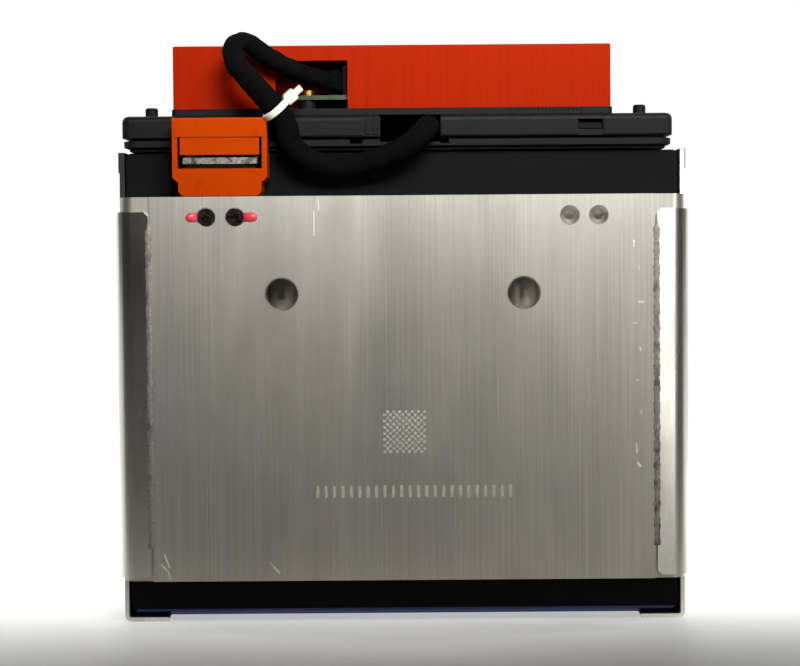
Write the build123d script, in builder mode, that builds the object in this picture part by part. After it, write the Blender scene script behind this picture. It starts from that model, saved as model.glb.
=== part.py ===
from build123d import *
import os
from math import radians, tan

os.makedirs("parts", exist_ok=True)

# Traction battery module: twelve prismatic cells in series, pressed between two extruded
# end plates and held by two folded side plates welded round them.  Millimetres, +Z up,
# origin on the floor under the middle of the module, X across, Y along the row of cells.
# The end with the wiring loop is at -Y.  "depth" is measured inwards from an end face.

# ---------------------------------------------------------------- cells
cell_count = 12
cell_width = 200.5
cell_thickness = 33.2
cell_height = 168.0
cell_edge_radius = 2.5
cell_foot_chamfer = 1.4
pad_thickness = 1.6
pad_margin = 8.0
terminal_offset = 64.8
terminal_width = 30.0
terminal_depth = 18.0
terminal_rise = 1.8
vent_length = 26.0
vent_width = 13.0
vent_recess = 0.5

# ---------------------------------------------------------------- sheets and films
sheet = 1.5
cell_side_clearance = 0.75
side_height = 171.0
lip_length = 16.3
lip_bend_radius = 2.3
lip_end_radius = 0.6
film = 0.3
film_hang = 7.0
film_fold_gap = 0.4
film_drape_clearance = 0.15
film_inside_chamfer = 0.6

# ---------------------------------------------------------------- end plates
end_plate_depth = 15.0
end_plate_bottom = 17.1
end_plate_height = 137.6
end_plate_wall = 3.2
web = 3.0
tab_bottom = 18.4
tab_height = 131.0
tab_bend_radius = 5.7
tab_corner_chamfer = 1.5
tab_reach = 11.8
seam_gap = 0.7
weld_width = 2.2
weld_rise = 0.25
weld_length = 118.0
weld_bottom = 29.0
bend_clearance = 0.3
channel_offset = 43.2
channel_radius = 5.6
channel_boss = 16.8
middle_chambers = 4
chamber_radius = 1.5
screw_chamber_width = 22.0
outer_chamber_width = 8.0
grip_radius = 5.5
grip_chamfer = 0.5
grip_height = 119.8
screw_height = 147.3
screw_pitch = 10.3
rear_spare_drop = 4.0
screw_hole_radius = 1.65
screw_sink_radius = 3.5

# ---------------------------------------------------------------- end insulators
insulator_thickness = 2.6
insulator_width = 200.0
insulator_bottom = 4.5
insulator_top = 171.0
insulator_corner = 2.0

# ---------------------------------------------------------------- carrier, links, flex
carrier_width = 194.4
carrier_shift = -1.6
carrier_front_depth = 13.3
carrier_plate = 2.0
carrier_wall = 2.0
carrier_wall_top = 176.3
carrier_ledge = 2.0
carrier_ledge_bottom = 173.0
carrier_ledge_height = 2.2
carrier_corner = 3.0
rail_width = 3.0
rail_offset = 30.0
link_width = 26.0
link_thickness = 2.0
link_overlap = 16.0
link_hump_width = 7.0
link_hump_rise = 1.2
link_clearance = 1.2
saddle_width = 22.0
saddle_depth = 2.0
saddle_x = 3.2
carrier_slot_height = 1.7
carrier_slot_lift = 0.7
carrier_slots = ((-16.4, 4.5), (15.6, 3.0))
flex_thickness = 0.3
flex_width = 12.0
flex_x = 24.0
flex_arm_width = 5.0
flex_arm_overlap = 6.0
sensing_socket_size = (13.0, 8.0, 8.0)
sensing_socket_x = 9.6

# ---------------------------------------------------------------- top cover
cover_width = 199.0
cover_front_depth = 11.0
cover_top = 184.2
cover_wall = 2.6
cover_roof = 1.8
cover_corner = 3.0
cover_inner_corner = 0.4
cover_top_radius = 2.2
panel_rise = 0.5
panel_edge = 0.8
cover_panels = ((-38.2, -13.9), (14.4, 63.2), (73.1, 96.4))
cover_ribs = ((-12.3, 1.2), (-9.3, 2.2))
cable_notch_width = 21.8
cable_notch_depth = 13.5
latch_width = 9.0
latch_window_bottom = 178.4
latch_window_height = 3.8
latch_clearance = 0.3
latch_x = 68.2
peg_radius = 2.3
peg_height = 3.2
peg_depth = 17.5
peg_offset = 88.65
peg_x = -2.15
peg_chamfer = 0.5

# ---------------------------------------------------------------- output terminals
bar_width = 26.4
bar_thickness = 2.2
bar_end_depth = 1.6
bar_step_depth = 12.2
bar_level = 166.4
bar_bend_radius = 0.9
bar_hole_radius = 3.25
bar_hole_depth = 7.6
base_width = 25.0
base_front_depth = 2.4
base_back_depth = 14.6
leg_depth = 7.6
leg_width = 20.0
leg_bottom = 141.0
leg_clearance = 0.5
pilot_radius = 1.2
nut_flats = 10.0
nut_height = 5.0
nut_thread_radius = 2.5
nut_clearance = 0.1
screw_head_clearance = 0.05
screw_shank_radius = 1.45
screw_tip_radius = 1.1
screw_length = 10.0
screw_sink_depth = 0.35
screw_recess_radius = 1.2
screw_recess_depth = 1.0

cap_width = 33.7
cap_front_depth = 0.5
cap_back_depth = 10.6
cap_skirt_depth = 14.7
cap_skirt_top = 170.6
cap_bottom = 155.0
cap_top = 182.8
cap_wall = 1.6
cap_band_bottom = 175.9
cap_slot_bottom = 164.7
cap_slot_top = 169.6
cap_slot_width = 30.0
cap_shoulder = 160.1
cap_foot_width = 29.7
cap_foot_radius = 2.4
cap_shoulder_chamfer = 1.5
cap_slit_width = 0.9
cap_flap_width = 28.2
cap_band_rise = 0.4
cap_edge_radius = 0.7

# ---------------------------------------------------------------- monitoring unit
monitor_x = -3.4
monitor_width = 158.3
monitor_length = 112.0
monitor_front_depth = 13.5
monitor_wall = 2.0
monitor_bottom = 186.6
monitor_top = 209.4
monitor_edge_radius = 0.6
tray_front_depth = 12.6
tray_overhang = 0.6
tray_corner = 2.0
tray_end_chamfer = 1.4
tray_teeth = 20
tray_tooth_width = 0.7
tray_tooth_height = 1.4
tray_teeth_start = 37.4
tray_teeth_run = 28.0
bay_left = -45.5
bay_right = -19.4
bay_top = 203.9
bay_depth = 17.0
bay_wall = 1.5
board_thickness = 1.6
board_bottom = 190.0
board_left = -37.4
board_right = 70.0
board_setback = 2.4
board_length = 100.0
board_gap = 0.4
board_post_radius = 3.0
board_post_inset = 3.4
board_screw_radius = 1.4
board_screw_head_radius = 2.6
board_screw_head_height = 1.8
socket_size = (13.0, 10.0, 11.0)
socket_x = -14.6
socket_wall = 1.2
socket_ribs = 4
socket_rib_width = 0.8
socket_rib_rise = 0.4
chip_rows = 2
chip_columns = 4
chip_spacing = (19.0, 26.0)
chip_size = (9.0, 7.0, 2.2)
chip_centre = (34.0, 72.0)

# ---------------------------------------------------------------- wiring loop
harness_diameter = 7.8
plug_length = 9.4
plug_depth = 8.6
plug_height = 8.4
plug_corner = 1.0
tie_width = 2.5
tie_thickness = 1.1
tie_clearance = 0.1
tie_head = (4.4, 5.6, 4.2)
tie_tail_length = 3.2
tie_index = 8
tie_place = 0.3
# X, depth from the end face, height
harness_route = (
    (-28.3, 21.3, 198.0),
    (-34.6, 16.2, 198.6),
    (-41.0, 9.2, 201.2),
    (-49.8, 7.0, 206.0),
    (-55.2, 4.0, 210.4),
    (-59.6, -0.6, 208.4),
    (-59.4, -4.4, 202.6),
    (-53.8, -2.6, 196.0),
    (-48.8, 0.2, 190.4),
    (-41.2, 3.2, 181.6),
    (-40.2, 4.8, 173.4),
    (-34.0, 7.6, 167.6),
    (-24.4, 9.6, 165.2),
    (-14.2, 9.2, 166.2),
    (-5.4, 7.2, 168.9),
    (1.6, 5.4, 172.0),
    (6.4, 5.2, 176.2),
    (9.2, 8.4, 179.3),
    (9.8, 14.8, 180.0),
    (9.6, 22.0, 178.2),
    (9.6, 29.0, 178.2),
)

# ---------------------------------------------------------------- derived places
stack_length = cell_count * cell_thickness + (cell_count - 1) * pad_thickness
module_length = stack_length + 2 * (end_plate_depth + insulator_thickness)
front = -module_length / 2
module_width = cell_width + 2 * (sheet + cell_side_clearance)
half_width = module_width / 2
half_inner = half_width - sheet
cell_bottom = sheet + film
cell_top = cell_bottom + cell_height
cell_pitch = cell_thickness + pad_thickness
first_cell = -stack_length / 2 + cell_thickness / 2
terminal_top = cell_top + terminal_rise
end_plate_top = end_plate_bottom + end_plate_height
bar_x = -terminal_offset
cover_length = module_length - 2 * cover_front_depth
carrier_length = module_length - 2 * carrier_front_depth
carrier_plate_bottom = terminal_top
carrier_plate_top = carrier_plate_bottom + link_thickness


def y_at(depth):
    """Return the Y of a depth measured inwards from the -Y end face."""
    return front + depth


def front_face(depth=0.0):
    """Return a plane facing -Y at a depth, with its x along X and its y upwards."""
    return Plane(origin=(0, y_at(depth), 0), x_dir=(1, 0, 0), z_dir=(0, -1, 0))


def save(piece, label):
    """Label a finished piece and write it as parts/<label>.step."""
    piece.label = label
    export_step(piece, f"parts/{label}.step")


def cell_y(index):
    """Return the Y of the middle of a cell, counted from 0 at the -Y end."""
    return first_cell + index * cell_pitch


# ================================================================ cells and pads
with BuildPart() as cell:
    with BuildSketch(Plane.XY.offset(cell_bottom)):
        RectangleRounded(cell_width, cell_thickness, cell_edge_radius)
    extrude(amount=cell_height)
    chamfer(cell.faces().sort_by(Axis.Z)[0].edges(), cell_foot_chamfer)
    with BuildSketch(Plane.XY.offset(cell_top)):
        with Locations((-terminal_offset, 0), (terminal_offset, 0)):
            RectangleRounded(terminal_width, terminal_depth, cell_edge_radius)
    extrude(amount=terminal_rise)
    with BuildSketch(Plane.XY.offset(cell_top)):
        SlotOverall(vent_length, vent_width)
    extrude(amount=-vent_recess, mode=Mode.SUBTRACT)

for index in range(cell_count):
    with BuildPart() as placed_cell:
        with Locations((0, cell_y(index), 0)):
            add(cell.part)
    save(placed_cell.part, f"cell_{index + 1:02d}")

with BuildPart() as cell_pads:
    for index in range(cell_count - 1):
        pad_plane = Plane.XZ.offset(-(cell_y(index) + cell_thickness / 2 + pad_thickness))
        with BuildSketch(pad_plane):
            with Locations((0, cell_bottom + cell_height / 2)):
                Rectangle(cell_width - 2 * pad_margin, cell_height - 2 * pad_margin)
        extrude(amount=pad_thickness)
save(cell_pads.part, "cell_pads")

# ================================================================ end plates
# One vertical extrusion: a hollow section with round bolt channels, rebated at both
# edges for the side plates' tabs.
tab_edge = half_width - tab_reach
rebate_edge = tab_edge - seam_gap
middle_run = 2 * channel_offset - channel_boss
middle_width = (middle_run - (middle_chambers - 1) * web) / middle_chambers
chamber_depth = end_plate_depth - 2 * end_plate_wall
chamber_middle = y_at(end_plate_depth / 2)
outer_chamber_x = terminal_offset + screw_chamber_width / 2 + web + outer_chamber_width / 2

with BuildPart() as end_plate_blank:
    with BuildSketch(Plane.XY.offset(end_plate_bottom)) as plate_section:
        with BuildLine():
            Polyline(
                (0, y_at(0)),
                (rebate_edge, y_at(0)),
                (rebate_edge, y_at(sheet)),
                (half_inner, y_at(sheet)),
                (half_inner, y_at(end_plate_depth)),
                (0, y_at(end_plate_depth)),
                close=True,
            )
        make_face()
        outer_corner = plate_section.vertices().group_by(Axis.X)[-1].sort_by(Axis.Y)[0]
        fillet(outer_corner, tab_bend_radius - sheet + bend_clearance)
        mirror(about=Plane.YZ)
        with Locations((0, chamber_middle)):
            with GridLocations(middle_width + web, 1, middle_chambers, 1):
                RectangleRounded(middle_width, chamber_depth, chamber_radius, mode=Mode.SUBTRACT)
            with GridLocations(2 * terminal_offset, 1, 2, 1):
                RectangleRounded(screw_chamber_width, chamber_depth, chamber_radius, mode=Mode.SUBTRACT)
            with GridLocations(2 * outer_chamber_x, 1, 2, 1):
                RectangleRounded(outer_chamber_width, chamber_depth, chamber_radius, mode=Mode.SUBTRACT)
            with GridLocations(2 * channel_offset, 1, 2, 1):
                Circle(channel_radius, mode=Mode.SUBTRACT)
    extrude(amount=end_plate_height)
    with Locations(front_face()):
        with Locations((-channel_offset, grip_height), (channel_offset, grip_height)):
            CounterSinkHole(grip_radius, grip_radius + grip_chamfer, end_plate_depth / 2, counter_sink_angle=90)
        with Locations((-terminal_offset, screw_height)):
            with GridLocations(screw_pitch, 1, 2, 1):
                CounterSinkHole(screw_hole_radius, screw_sink_radius, end_plate_depth / 2, counter_sink_angle=90)


def drilled_plate(spare_height):
    """The front end plate with its spare pair of countersunk holes at a height."""
    with BuildPart() as plate:
        add(end_plate_blank.part)
        with Locations(front_face()):
            with Locations((terminal_offset, spare_height)):
                with GridLocations(screw_pitch, 1, 2, 1):
                    CounterSinkHole(screw_hole_radius, screw_sink_radius, end_plate_depth / 2, counter_sink_angle=90)
    return plate.part


save(drilled_plate(screw_height), "end_plate_front")

with BuildPart() as end_plate_rear:
    mirror(drilled_plate(screw_height - rear_spare_drop), about=Plane.XZ)
save(end_plate_rear.part, "end_plate_rear")

# ================================================================ side plates
# Folded sheet: a wall, a foot lip under the cells and a tab round each end plate.
with BuildPart() as side_plate_right:
    with BuildSketch(Plane.XZ) as wall_section:
        with BuildLine():
            Polyline(
                (half_width, side_height),
                (half_width, 0),
                (half_width - lip_length, 0),
                (half_width - lip_length, sheet),
                (half_inner, sheet),
                (half_inner, side_height),
                close=True,
            )
        make_face()
        fillet(wall_section.vertices().group_by(Axis.X)[-1].sort_by(Axis.Y)[0], lip_bend_radius)
        fillet(wall_section.vertices().group_by(Axis.X)[0], lip_end_radius)
        inner_bend = wall_section.vertices().filter_by_position(Axis.X, half_inner - 1e-3, half_inner + 1e-3)
        fillet(inner_bend.sort_by(Axis.Y)[0], lip_bend_radius - sheet)
    extrude(amount=module_length / 2 - end_plate_depth, both=True)
    with BuildSketch(Plane.XY.offset(tab_bottom)) as tab_section:
        with BuildLine():
            Polyline(
                (half_width, y_at(end_plate_depth)),
                (half_width, y_at(0)),
                (tab_edge, y_at(0)),
                (tab_edge, y_at(sheet)),
                (half_inner, y_at(sheet)),
                (half_inner, y_at(end_plate_depth)),
                close=True,
            )
        make_face()
        fillet(tab_section.vertices().group_by(Axis.X)[-1].sort_by(Axis.Y)[0], tab_bend_radius)
        inner_corner = tab_section.vertices().filter_by_position(Axis.X, half_inner - 1e-3, half_inner + 1e-3)
        fillet(inner_corner.sort_by(Axis.Y)[0], tab_bend_radius - sheet)
    tab = extrude(amount=tab_height)
    free_edges = tab.edges().filter_by(Axis.Y).group_by(Axis.X)[0]
    chamfer(free_edges, tab_corner_chamfer)
    mirror(tab, about=Plane.XZ)
save(side_plate_right.part, "side_plate_right")

with BuildPart() as side_plate_left:
    mirror(side_plate_right.part, about=Plane.YZ)
save(side_plate_left.part, "side_plate_left")

# Weld beads: a low crown over each seam with a stem in the gap behind it.
with BuildPart() as weld_seams:
    with BuildSketch(Plane.XY.offset(weld_bottom)):
        with BuildLine():
            seam_middle = tab_edge - seam_gap / 2
            crown_left = (seam_middle - weld_width / 2, y_at(0))
            crown_right = (seam_middle + weld_width / 2, y_at(0))
            ThreePointArc(crown_left, (seam_middle, y_at(-weld_rise)), crown_right)
            Polyline(
                crown_right,
                (tab_edge, y_at(0)),
                (tab_edge, y_at(sheet)),
                (rebate_edge, y_at(sheet)),
                (rebate_edge, y_at(0)),
                crown_left,
            )
        make_face()
    extrude(amount=weld_length)
    mirror(about=Plane.YZ)
    mirror(about=Plane.XZ)
save(weld_seams.part, "weld_seams")

# ================================================================ side films
# Thin film between cells and side plate, over the lip at the foot and folded over the
# plate's top edge, where it hangs outside.
film_run = module_length / 2 - end_plate_depth - film_fold_gap
film_inner = half_inner - film
fold_outer = half_width + film_drape_clearance + film
with BuildPart() as side_film_right:
    with BuildSketch(Plane.XZ) as film_section:
        with BuildLine():
            Polyline(
                (half_width - lip_length, sheet),
                (half_inner, sheet),
                (half_inner, side_height),
                (fold_outer - film, side_height),
                (fold_outer - film, side_height - film_hang),
                (fold_outer, side_height - film_hang),
                (fold_outer, side_height + film),
                (film_inner, side_height + film),
                (film_inner, cell_bottom),
                (half_width - lip_length, cell_bottom),
                close=True,
            )
        make_face()
        foot_corner = film_section.vertices().filter_by_position(Axis.X, half_inner - 1e-3, half_inner + 1e-3)
        chamfer(foot_corner.sort_by(Axis.Y)[0], lip_bend_radius - sheet)
        inside_corner = film_section.vertices().filter_by_position(Axis.X, film_inner - 1e-3, film_inner + 1e-3)
        chamfer(inside_corner.sort_by(Axis.Y)[0], film_inside_chamfer)
    extrude(amount=film_run, both=True)
save(side_film_right.part, "side_film_right")

with BuildPart() as side_film_left:
    mirror(side_film_right.part, about=Plane.YZ)
save(side_film_left.part, "side_film_left")

# ================================================================ end insulators
with BuildPart() as end_insulator_front:
    with BuildSketch(front_face(end_plate_depth)):
        with Locations((0, (insulator_bottom + insulator_top) / 2)):
            RectangleRounded(insulator_width, insulator_top - insulator_bottom, insulator_corner)
    extrude(amount=-insulator_thickness)
save(end_insulator_front.part, "end_insulator_front")

with BuildPart() as end_insulator_rear:
    mirror(end_insulator_front.part, about=Plane.XZ)
save(end_insulator_rear.part, "end_insulator_rear")

# ================================================================ busbar carrier
# Moulded tray on the cell lids: a plate with a window for each busbar, rails that stand
# on the lids, a low wall all round with snap hooks, and a saddle for the wiring.
link_length = cell_pitch + link_overlap
window_width = link_width + 2 * link_clearance
window_length = link_length + 2 * link_clearance
links_right = [(cell_y(i) + cell_y(i + 1)) / 2 for i in range(0, cell_count - 1, 2)]
links_left = [(cell_y(i) + cell_y(i + 1)) / 2 for i in range(1, cell_count - 1, 2)]
bar_back = cell_y(0) + link_overlap / 2
end_window_y = (y_at(carrier_front_depth - carrier_ledge) + bar_back + link_clearance) / 2
end_window_length = bar_back + link_clearance - y_at(carrier_front_depth - carrier_ledge)

with BuildPart() as busbar_carrier:
    with BuildSketch(Plane.XY.offset(carrier_plate_bottom)):
        with Locations((carrier_shift, 0)):
            RectangleRounded(carrier_width, carrier_length, carrier_corner)
    extrude(amount=carrier_plate)
    with BuildSketch(Plane.XY.offset(carrier_plate_bottom)):
        with Locations((carrier_shift, 0)):
            RectangleRounded(carrier_width, carrier_length, carrier_corner)
            RectangleRounded(
                carrier_width - 2 * carrier_wall,
                carrier_length - 2 * carrier_wall,
                carrier_corner - carrier_wall,
                mode=Mode.SUBTRACT,
            )
    extrude(amount=carrier_wall_top - carrier_plate_bottom)
    with BuildSketch(Plane.XY.offset(carrier_ledge_bottom)):
        with Locations((carrier_shift, 0)):
            RectangleRounded(
                carrier_width + 2 * carrier_ledge, carrier_length + 2 * carrier_ledge, carrier_corner + carrier_ledge
            )
            RectangleRounded(
                carrier_width - 2 * carrier_wall,
                carrier_length - 2 * carrier_wall,
                carrier_corner - carrier_wall,
                mode=Mode.SUBTRACT,
            )
    extrude(amount=carrier_ledge_height)
    with BuildSketch(Plane.XY.offset(cell_top)):
        with GridLocations(2 * rail_offset, 1, 2, 1):
            Rectangle(rail_width, stack_length)
    extrude(amount=carrier_plate_bottom - cell_top)
    with BuildSketch(Plane.XY.offset(carrier_plate_bottom)):
        with Locations(*[(terminal_offset, y) for y in links_right]):
            Rectangle(window_width, window_length)
        with Locations(*[(-terminal_offset, y) for y in links_left]):
            Rectangle(window_width, window_length)
        with Locations((bar_x, end_window_y), (bar_x, -end_window_y)):
            Rectangle(window_width + 2 * link_clearance, end_window_length)
        with Locations(*[(0, cell_y(i)) for i in range(cell_count)]):
            SlotOverall(vent_length, vent_width)
    extrude(amount=carrier_wall_top - carrier_plate_bottom, mode=Mode.SUBTRACT)
    with BuildSketch(Plane.XY.offset(carrier_wall_top)):
        with Locations((saddle_x, y_at(carrier_front_depth))):
            Rectangle(saddle_width, 2 * (carrier_wall + carrier_ledge))
    extrude(amount=-saddle_depth, mode=Mode.SUBTRACT)
    for slot_x, slot_width in carrier_slots:
        with BuildSketch(front_face(carrier_front_depth - carrier_ledge)):
            with Locations((slot_x, carrier_ledge_bottom + carrier_slot_lift + carrier_slot_height / 2)):
                Rectangle(slot_width, carrier_slot_height)
        extrude(amount=-2 * carrier_wall, mode=Mode.SUBTRACT)
    # snap hooks: a wedge on a short post, one at each end
    with BuildSketch(Plane.YZ.offset(latch_x - latch_width / 2 + latch_clearance)):
        for side in (1, -1):
            hook_face = side * y_at(cover_front_depth + latch_clearance)
            hook_root = side * y_at(cover_front_depth + cover_wall + latch_clearance)
            hook_back = side * y_at(cover_front_depth + 2 * cover_wall)
            with BuildLine():
                Polyline(
                    (hook_root, carrier_wall_top),
                    (hook_root, latch_window_bottom + latch_clearance),
                    (hook_face, latch_window_bottom + latch_clearance),
                    (hook_root, latch_window_bottom + latch_window_height - latch_clearance),
                    (hook_back, latch_window_bottom + latch_window_height - latch_clearance),
                    (hook_back, carrier_plate_top),
                    (hook_root, carrier_plate_top),
                    close=True,
                )
            make_face()
    extrude(amount=latch_width - 2 * latch_clearance)
save(busbar_carrier.part, "busbar_carrier")

# ================================================================ cell links
with BuildPart() as link:
    with BuildSketch(Plane.YZ.offset(-link_width / 2)):
        hump = link_hump_width / 2
        with BuildLine():
            Polyline(
                (-link_length / 2, terminal_top),
                (-hump - link_hump_rise, terminal_top),
                (-hump, terminal_top + link_hump_rise),
                (hump, terminal_top + link_hump_rise),
                (hump + link_hump_rise, terminal_top),
                (link_length / 2, terminal_top),
                (link_length / 2, terminal_top + link_thickness),
                (hump + link_hump_rise, terminal_top + link_thickness),
                (hump, terminal_top + link_thickness + link_hump_rise),
                (-hump, terminal_top + link_thickness + link_hump_rise),
                (-hump - link_hump_rise, terminal_top + link_thickness),
                (-link_length / 2, terminal_top + link_thickness),
                close=True,
            )
        make_face()
    extrude(amount=link_width)

link_places = sorted([(y, terminal_offset) for y in links_right] + [(y, -terminal_offset) for y in links_left])
for number, (link_y, link_x) in enumerate(link_places, start=1):
    with BuildPart() as placed_link:
        with Locations((link_x, link_y, 0)):
            add(link.part)
    save(placed_link.part, f"cell_link_{number:02d}")

# ================================================================ output busbars
with BuildPart() as output_busbar_front:
    with BuildSketch(Plane.YZ.offset(bar_x - bar_width / 2)) as bar_section:
        with BuildLine():
            Polyline(
                (y_at(bar_end_depth), bar_level),
                (y_at(bar_step_depth + bar_thickness), bar_level),
                (y_at(bar_step_depth + bar_thickness), terminal_top),
                (bar_back, terminal_top),
                (bar_back, terminal_top + bar_thickness),
                (y_at(bar_step_depth), terminal_top + bar_thickness),
                (y_at(bar_step_depth), bar_level + bar_thickness),
                (y_at(bar_end_depth), bar_level + bar_thickness),
                close=True,
            )
        make_face()
        bends = bar_section.vertices().filter_by_position(
            Axis.X, y_at(bar_step_depth) - 1e-3, y_at(bar_step_depth + bar_thickness) + 1e-3
        )
        fillet(bends, bar_bend_radius)
    extrude(amount=bar_width)
    with BuildSketch(Plane.XY.offset(bar_level)):
        with Locations((bar_x, y_at(bar_hole_depth))):
            Circle(bar_hole_radius)
    extrude(amount=bar_thickness, mode=Mode.SUBTRACT)
save(output_busbar_front.part, "output_busbar_front")

with BuildPart() as output_busbar_rear:
    mirror(output_busbar_front.part, about=Plane.XZ)
save(output_busbar_rear.part, "output_busbar_rear")

# ================================================================ sensing flex and socket
arm_left_end = -terminal_offset + link_width / 2 - flex_arm_overlap
arm_right_end = terminal_offset - link_width / 2 + flex_arm_overlap
arm_shift = cell_pitch / 2 - flex_arm_width
with BuildPart() as sensing_flex:
    with BuildSketch(Plane.XY.offset(carrier_plate_top)):
        with Locations((flex_x, 0)):
            Rectangle(flex_width, stack_length - cell_thickness)
        for link_y, link_x in link_places:
            arm_end = arm_right_end if link_x > 0 else arm_left_end
            with Locations(((arm_end + flex_x) / 2, link_y + arm_shift)):
                Rectangle(abs(arm_end - flex_x), flex_arm_width)
        socket_y = y_at(harness_route[-1][1]) + sensing_socket_size[1] / 2
        strip_start = -stack_length / 2 + cell_thickness / 2
        with Locations(((sensing_socket_x + flex_x) / 2, (socket_y + strip_start) / 2)):
            Rectangle(flex_x - sensing_socket_x + flex_width, strip_start - socket_y + sensing_socket_size[1])
    extrude(amount=flex_thickness)
save(sensing_flex.part, "sensing_flex")

with BuildPart() as sensing_socket:
    with BuildSketch(Plane.XY.offset(carrier_plate_top + flex_thickness)):
        with Locations((sensing_socket_x, socket_y)):
            Rectangle(sensing_socket_size[0], sensing_socket_size[1])
    extrude(amount=sensing_socket_size[2])
    chamfer(sensing_socket.faces().sort_by(Axis.Z)[-1].edges().filter_by(Axis.X), peg_chamfer)
save(sensing_socket.part, "sensing_socket")

# ================================================================ top cover
cover_bottom = carrier_wall_top
cover_height = cover_top - cover_bottom
notch_y = y_at(cover_front_depth + cable_notch_depth / 2)

with BuildPart() as top_cover:
    with BuildSketch(Plane.XY.offset(cover_bottom)):
        with Locations((carrier_shift, 0)):
            RectangleRounded(cover_width, cover_length, cover_corner)
    extrude(amount=cover_height)
    fillet(top_cover.faces().sort_by(Axis.Z)[-1].edges(), cover_top_radius)
    with BuildSketch(Plane.XY.offset(cover_bottom)):
        with Locations((carrier_shift, 0)):
            RectangleRounded(
                cover_width - 2 * cover_wall, cover_length - 2 * cover_wall, cover_corner - cover_wall + cover_inner_corner
            )
    extrude(amount=cover_height - cover_roof, mode=Mode.SUBTRACT)
    # raised panels across the front
    for left, right in cover_panels:
        with BuildSketch(front_face(cover_front_depth)):
            with Locations(((left + right) / 2, (cover_bottom + cover_top - cover_top_radius) / 2)):
                Rectangle(right - left, cover_height - cover_top_radius - panel_edge)
        extrude(amount=panel_rise)
    # cable notch with two upright ribs beside it
    with BuildSketch(Plane.XY.offset(cover_bottom)):
        with Locations((saddle_x, notch_y)):
            Rectangle(cable_notch_width, cable_notch_depth + 2 * panel_rise)
    extrude(amount=cover_height, mode=Mode.SUBTRACT)
    for rib_x, rib_width in cover_ribs:
        with BuildSketch(front_face(cover_front_depth)):
            with Locations((rib_x, cover_bottom + cover_height / 2)):
                Rectangle(rib_width, cover_height - 2 * panel_edge)
        extrude(amount=panel_rise)
    # latch windows, front and rear
    with BuildSketch(front_face(cover_front_depth)):
        with Locations((latch_x, latch_window_bottom + latch_window_height / 2)):
            Rectangle(latch_width, latch_window_height)
    extrude(amount=-cover_wall, mode=Mode.SUBTRACT)
    with BuildSketch(front_face(module_length - cover_front_depth - cover_wall)):
        with Locations((latch_x, latch_window_bottom + latch_window_height / 2)):
            Rectangle(latch_width, latch_window_height)
    extrude(amount=-cover_wall, mode=Mode.SUBTRACT)
    # locating pegs
    with BuildSketch(Plane.XY.offset(cover_top)):
        with Locations((peg_x, 0)):
            with GridLocations(2 * peg_offset, module_length - 2 * peg_depth, 2, 2):
                Circle(peg_radius)
    pegs = extrude(amount=peg_height)
    chamfer(pegs.faces().filter_by(Plane.XY).group_by(Axis.Z)[-1].edges(), peg_chamfer)
save(top_cover.part, "top_cover")

# ================================================================ terminal base, nut, screws
base_top = bar_level
base_y = y_at((base_front_depth + base_back_depth) / 2)
hole_y = y_at(bar_hole_depth)

with BuildPart() as terminal_base_front:
    with BuildSketch(Plane.XY.offset(end_plate_top)):
        with Locations((bar_x, base_y)):
            Rectangle(base_width, base_back_depth - base_front_depth)
    extrude(amount=base_top - end_plate_top)
    with BuildSketch(Plane.XY.offset(leg_bottom)):
        with Locations((bar_x, chamber_middle)):
            Rectangle(leg_width, leg_depth)
    extrude(amount=end_plate_top - leg_bottom)
    with BuildSketch(Plane.XY.offset(base_top)):
        with Locations((bar_x, hole_y)):
            RegularPolygon(nut_flats / 2 + nut_clearance, 6, major_radius=False)
    extrude(amount=-nut_height, mode=Mode.SUBTRACT)
    with BuildSketch(Plane.XY.offset(base_top - nut_height)):
        with Locations((bar_x, hole_y)):
            Circle(nut_thread_radius)
    extrude(amount=-nut_height / 2, mode=Mode.SUBTRACT)
    with BuildSketch(front_face(end_plate_depth / 2 - leg_depth / 2)):
        with Locations((bar_x, screw_height)):
            with GridLocations(screw_pitch, 1, 2, 1):
                Circle(screw_shank_radius)
    extrude(amount=-leg_depth, mode=Mode.SUBTRACT)
save(terminal_base_front.part, "terminal_base_front")

with BuildPart() as terminal_base_rear:
    mirror(terminal_base_front.part, about=Plane.XZ)
save(terminal_base_rear.part, "terminal_base_rear")

with BuildPart() as terminal_nuts:
    with BuildSketch(Plane.XY.offset(base_top - nut_height)):
        with Locations((bar_x, hole_y), (bar_x, -hole_y)):
            RegularPolygon(nut_flats / 2, 6, major_radius=False)
            Circle(nut_thread_radius, mode=Mode.SUBTRACT)
    extrude(amount=nut_height)
save(terminal_nuts.part, "terminal_nuts")

screw_head_radius = screw_sink_radius - screw_sink_depth - screw_head_clearance
cone_end = screw_sink_depth + screw_head_radius - screw_shank_radius
with BuildPart() as screw:
    with BuildSketch(Plane.XY):
        with BuildLine():
            Polyline(
                (0, screw_sink_depth),
                (screw_head_radius, screw_sink_depth),
                (screw_shank_radius, cone_end),
                (screw_shank_radius, screw_length - screw_shank_radius),
                (0, screw_length),
                close=True,
            )
        make_face()
    revolve(axis=Axis.Y)
    with BuildSketch(Plane.XZ.offset(-screw_sink_depth)):
        Rectangle(2 * screw_recess_radius, screw_recess_radius / 2)
        Rectangle(screw_recess_radius / 2, 2 * screw_recess_radius)
    extrude(amount=-screw_recess_depth, mode=Mode.SUBTRACT)

with BuildPart() as terminal_screws:
    with Locations((bar_x - screw_pitch / 2, front, screw_height), (bar_x + screw_pitch / 2, front, screw_height)):
        add(screw.part)
    mirror(about=Plane.XZ)
save(terminal_screws.part, "terminal_screws")

# ================================================================ terminal cap
# One moulding: a box over the busbar's end, with a slot for the mating bar and a
# flexing tongue above it between two slits.
cap_front = y_at(cap_front_depth)
cap_middle = y_at((cap_front_depth + cap_back_depth) / 2)
cap_skirt_middle = y_at((cap_front_depth + cap_skirt_depth) / 2)

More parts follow.
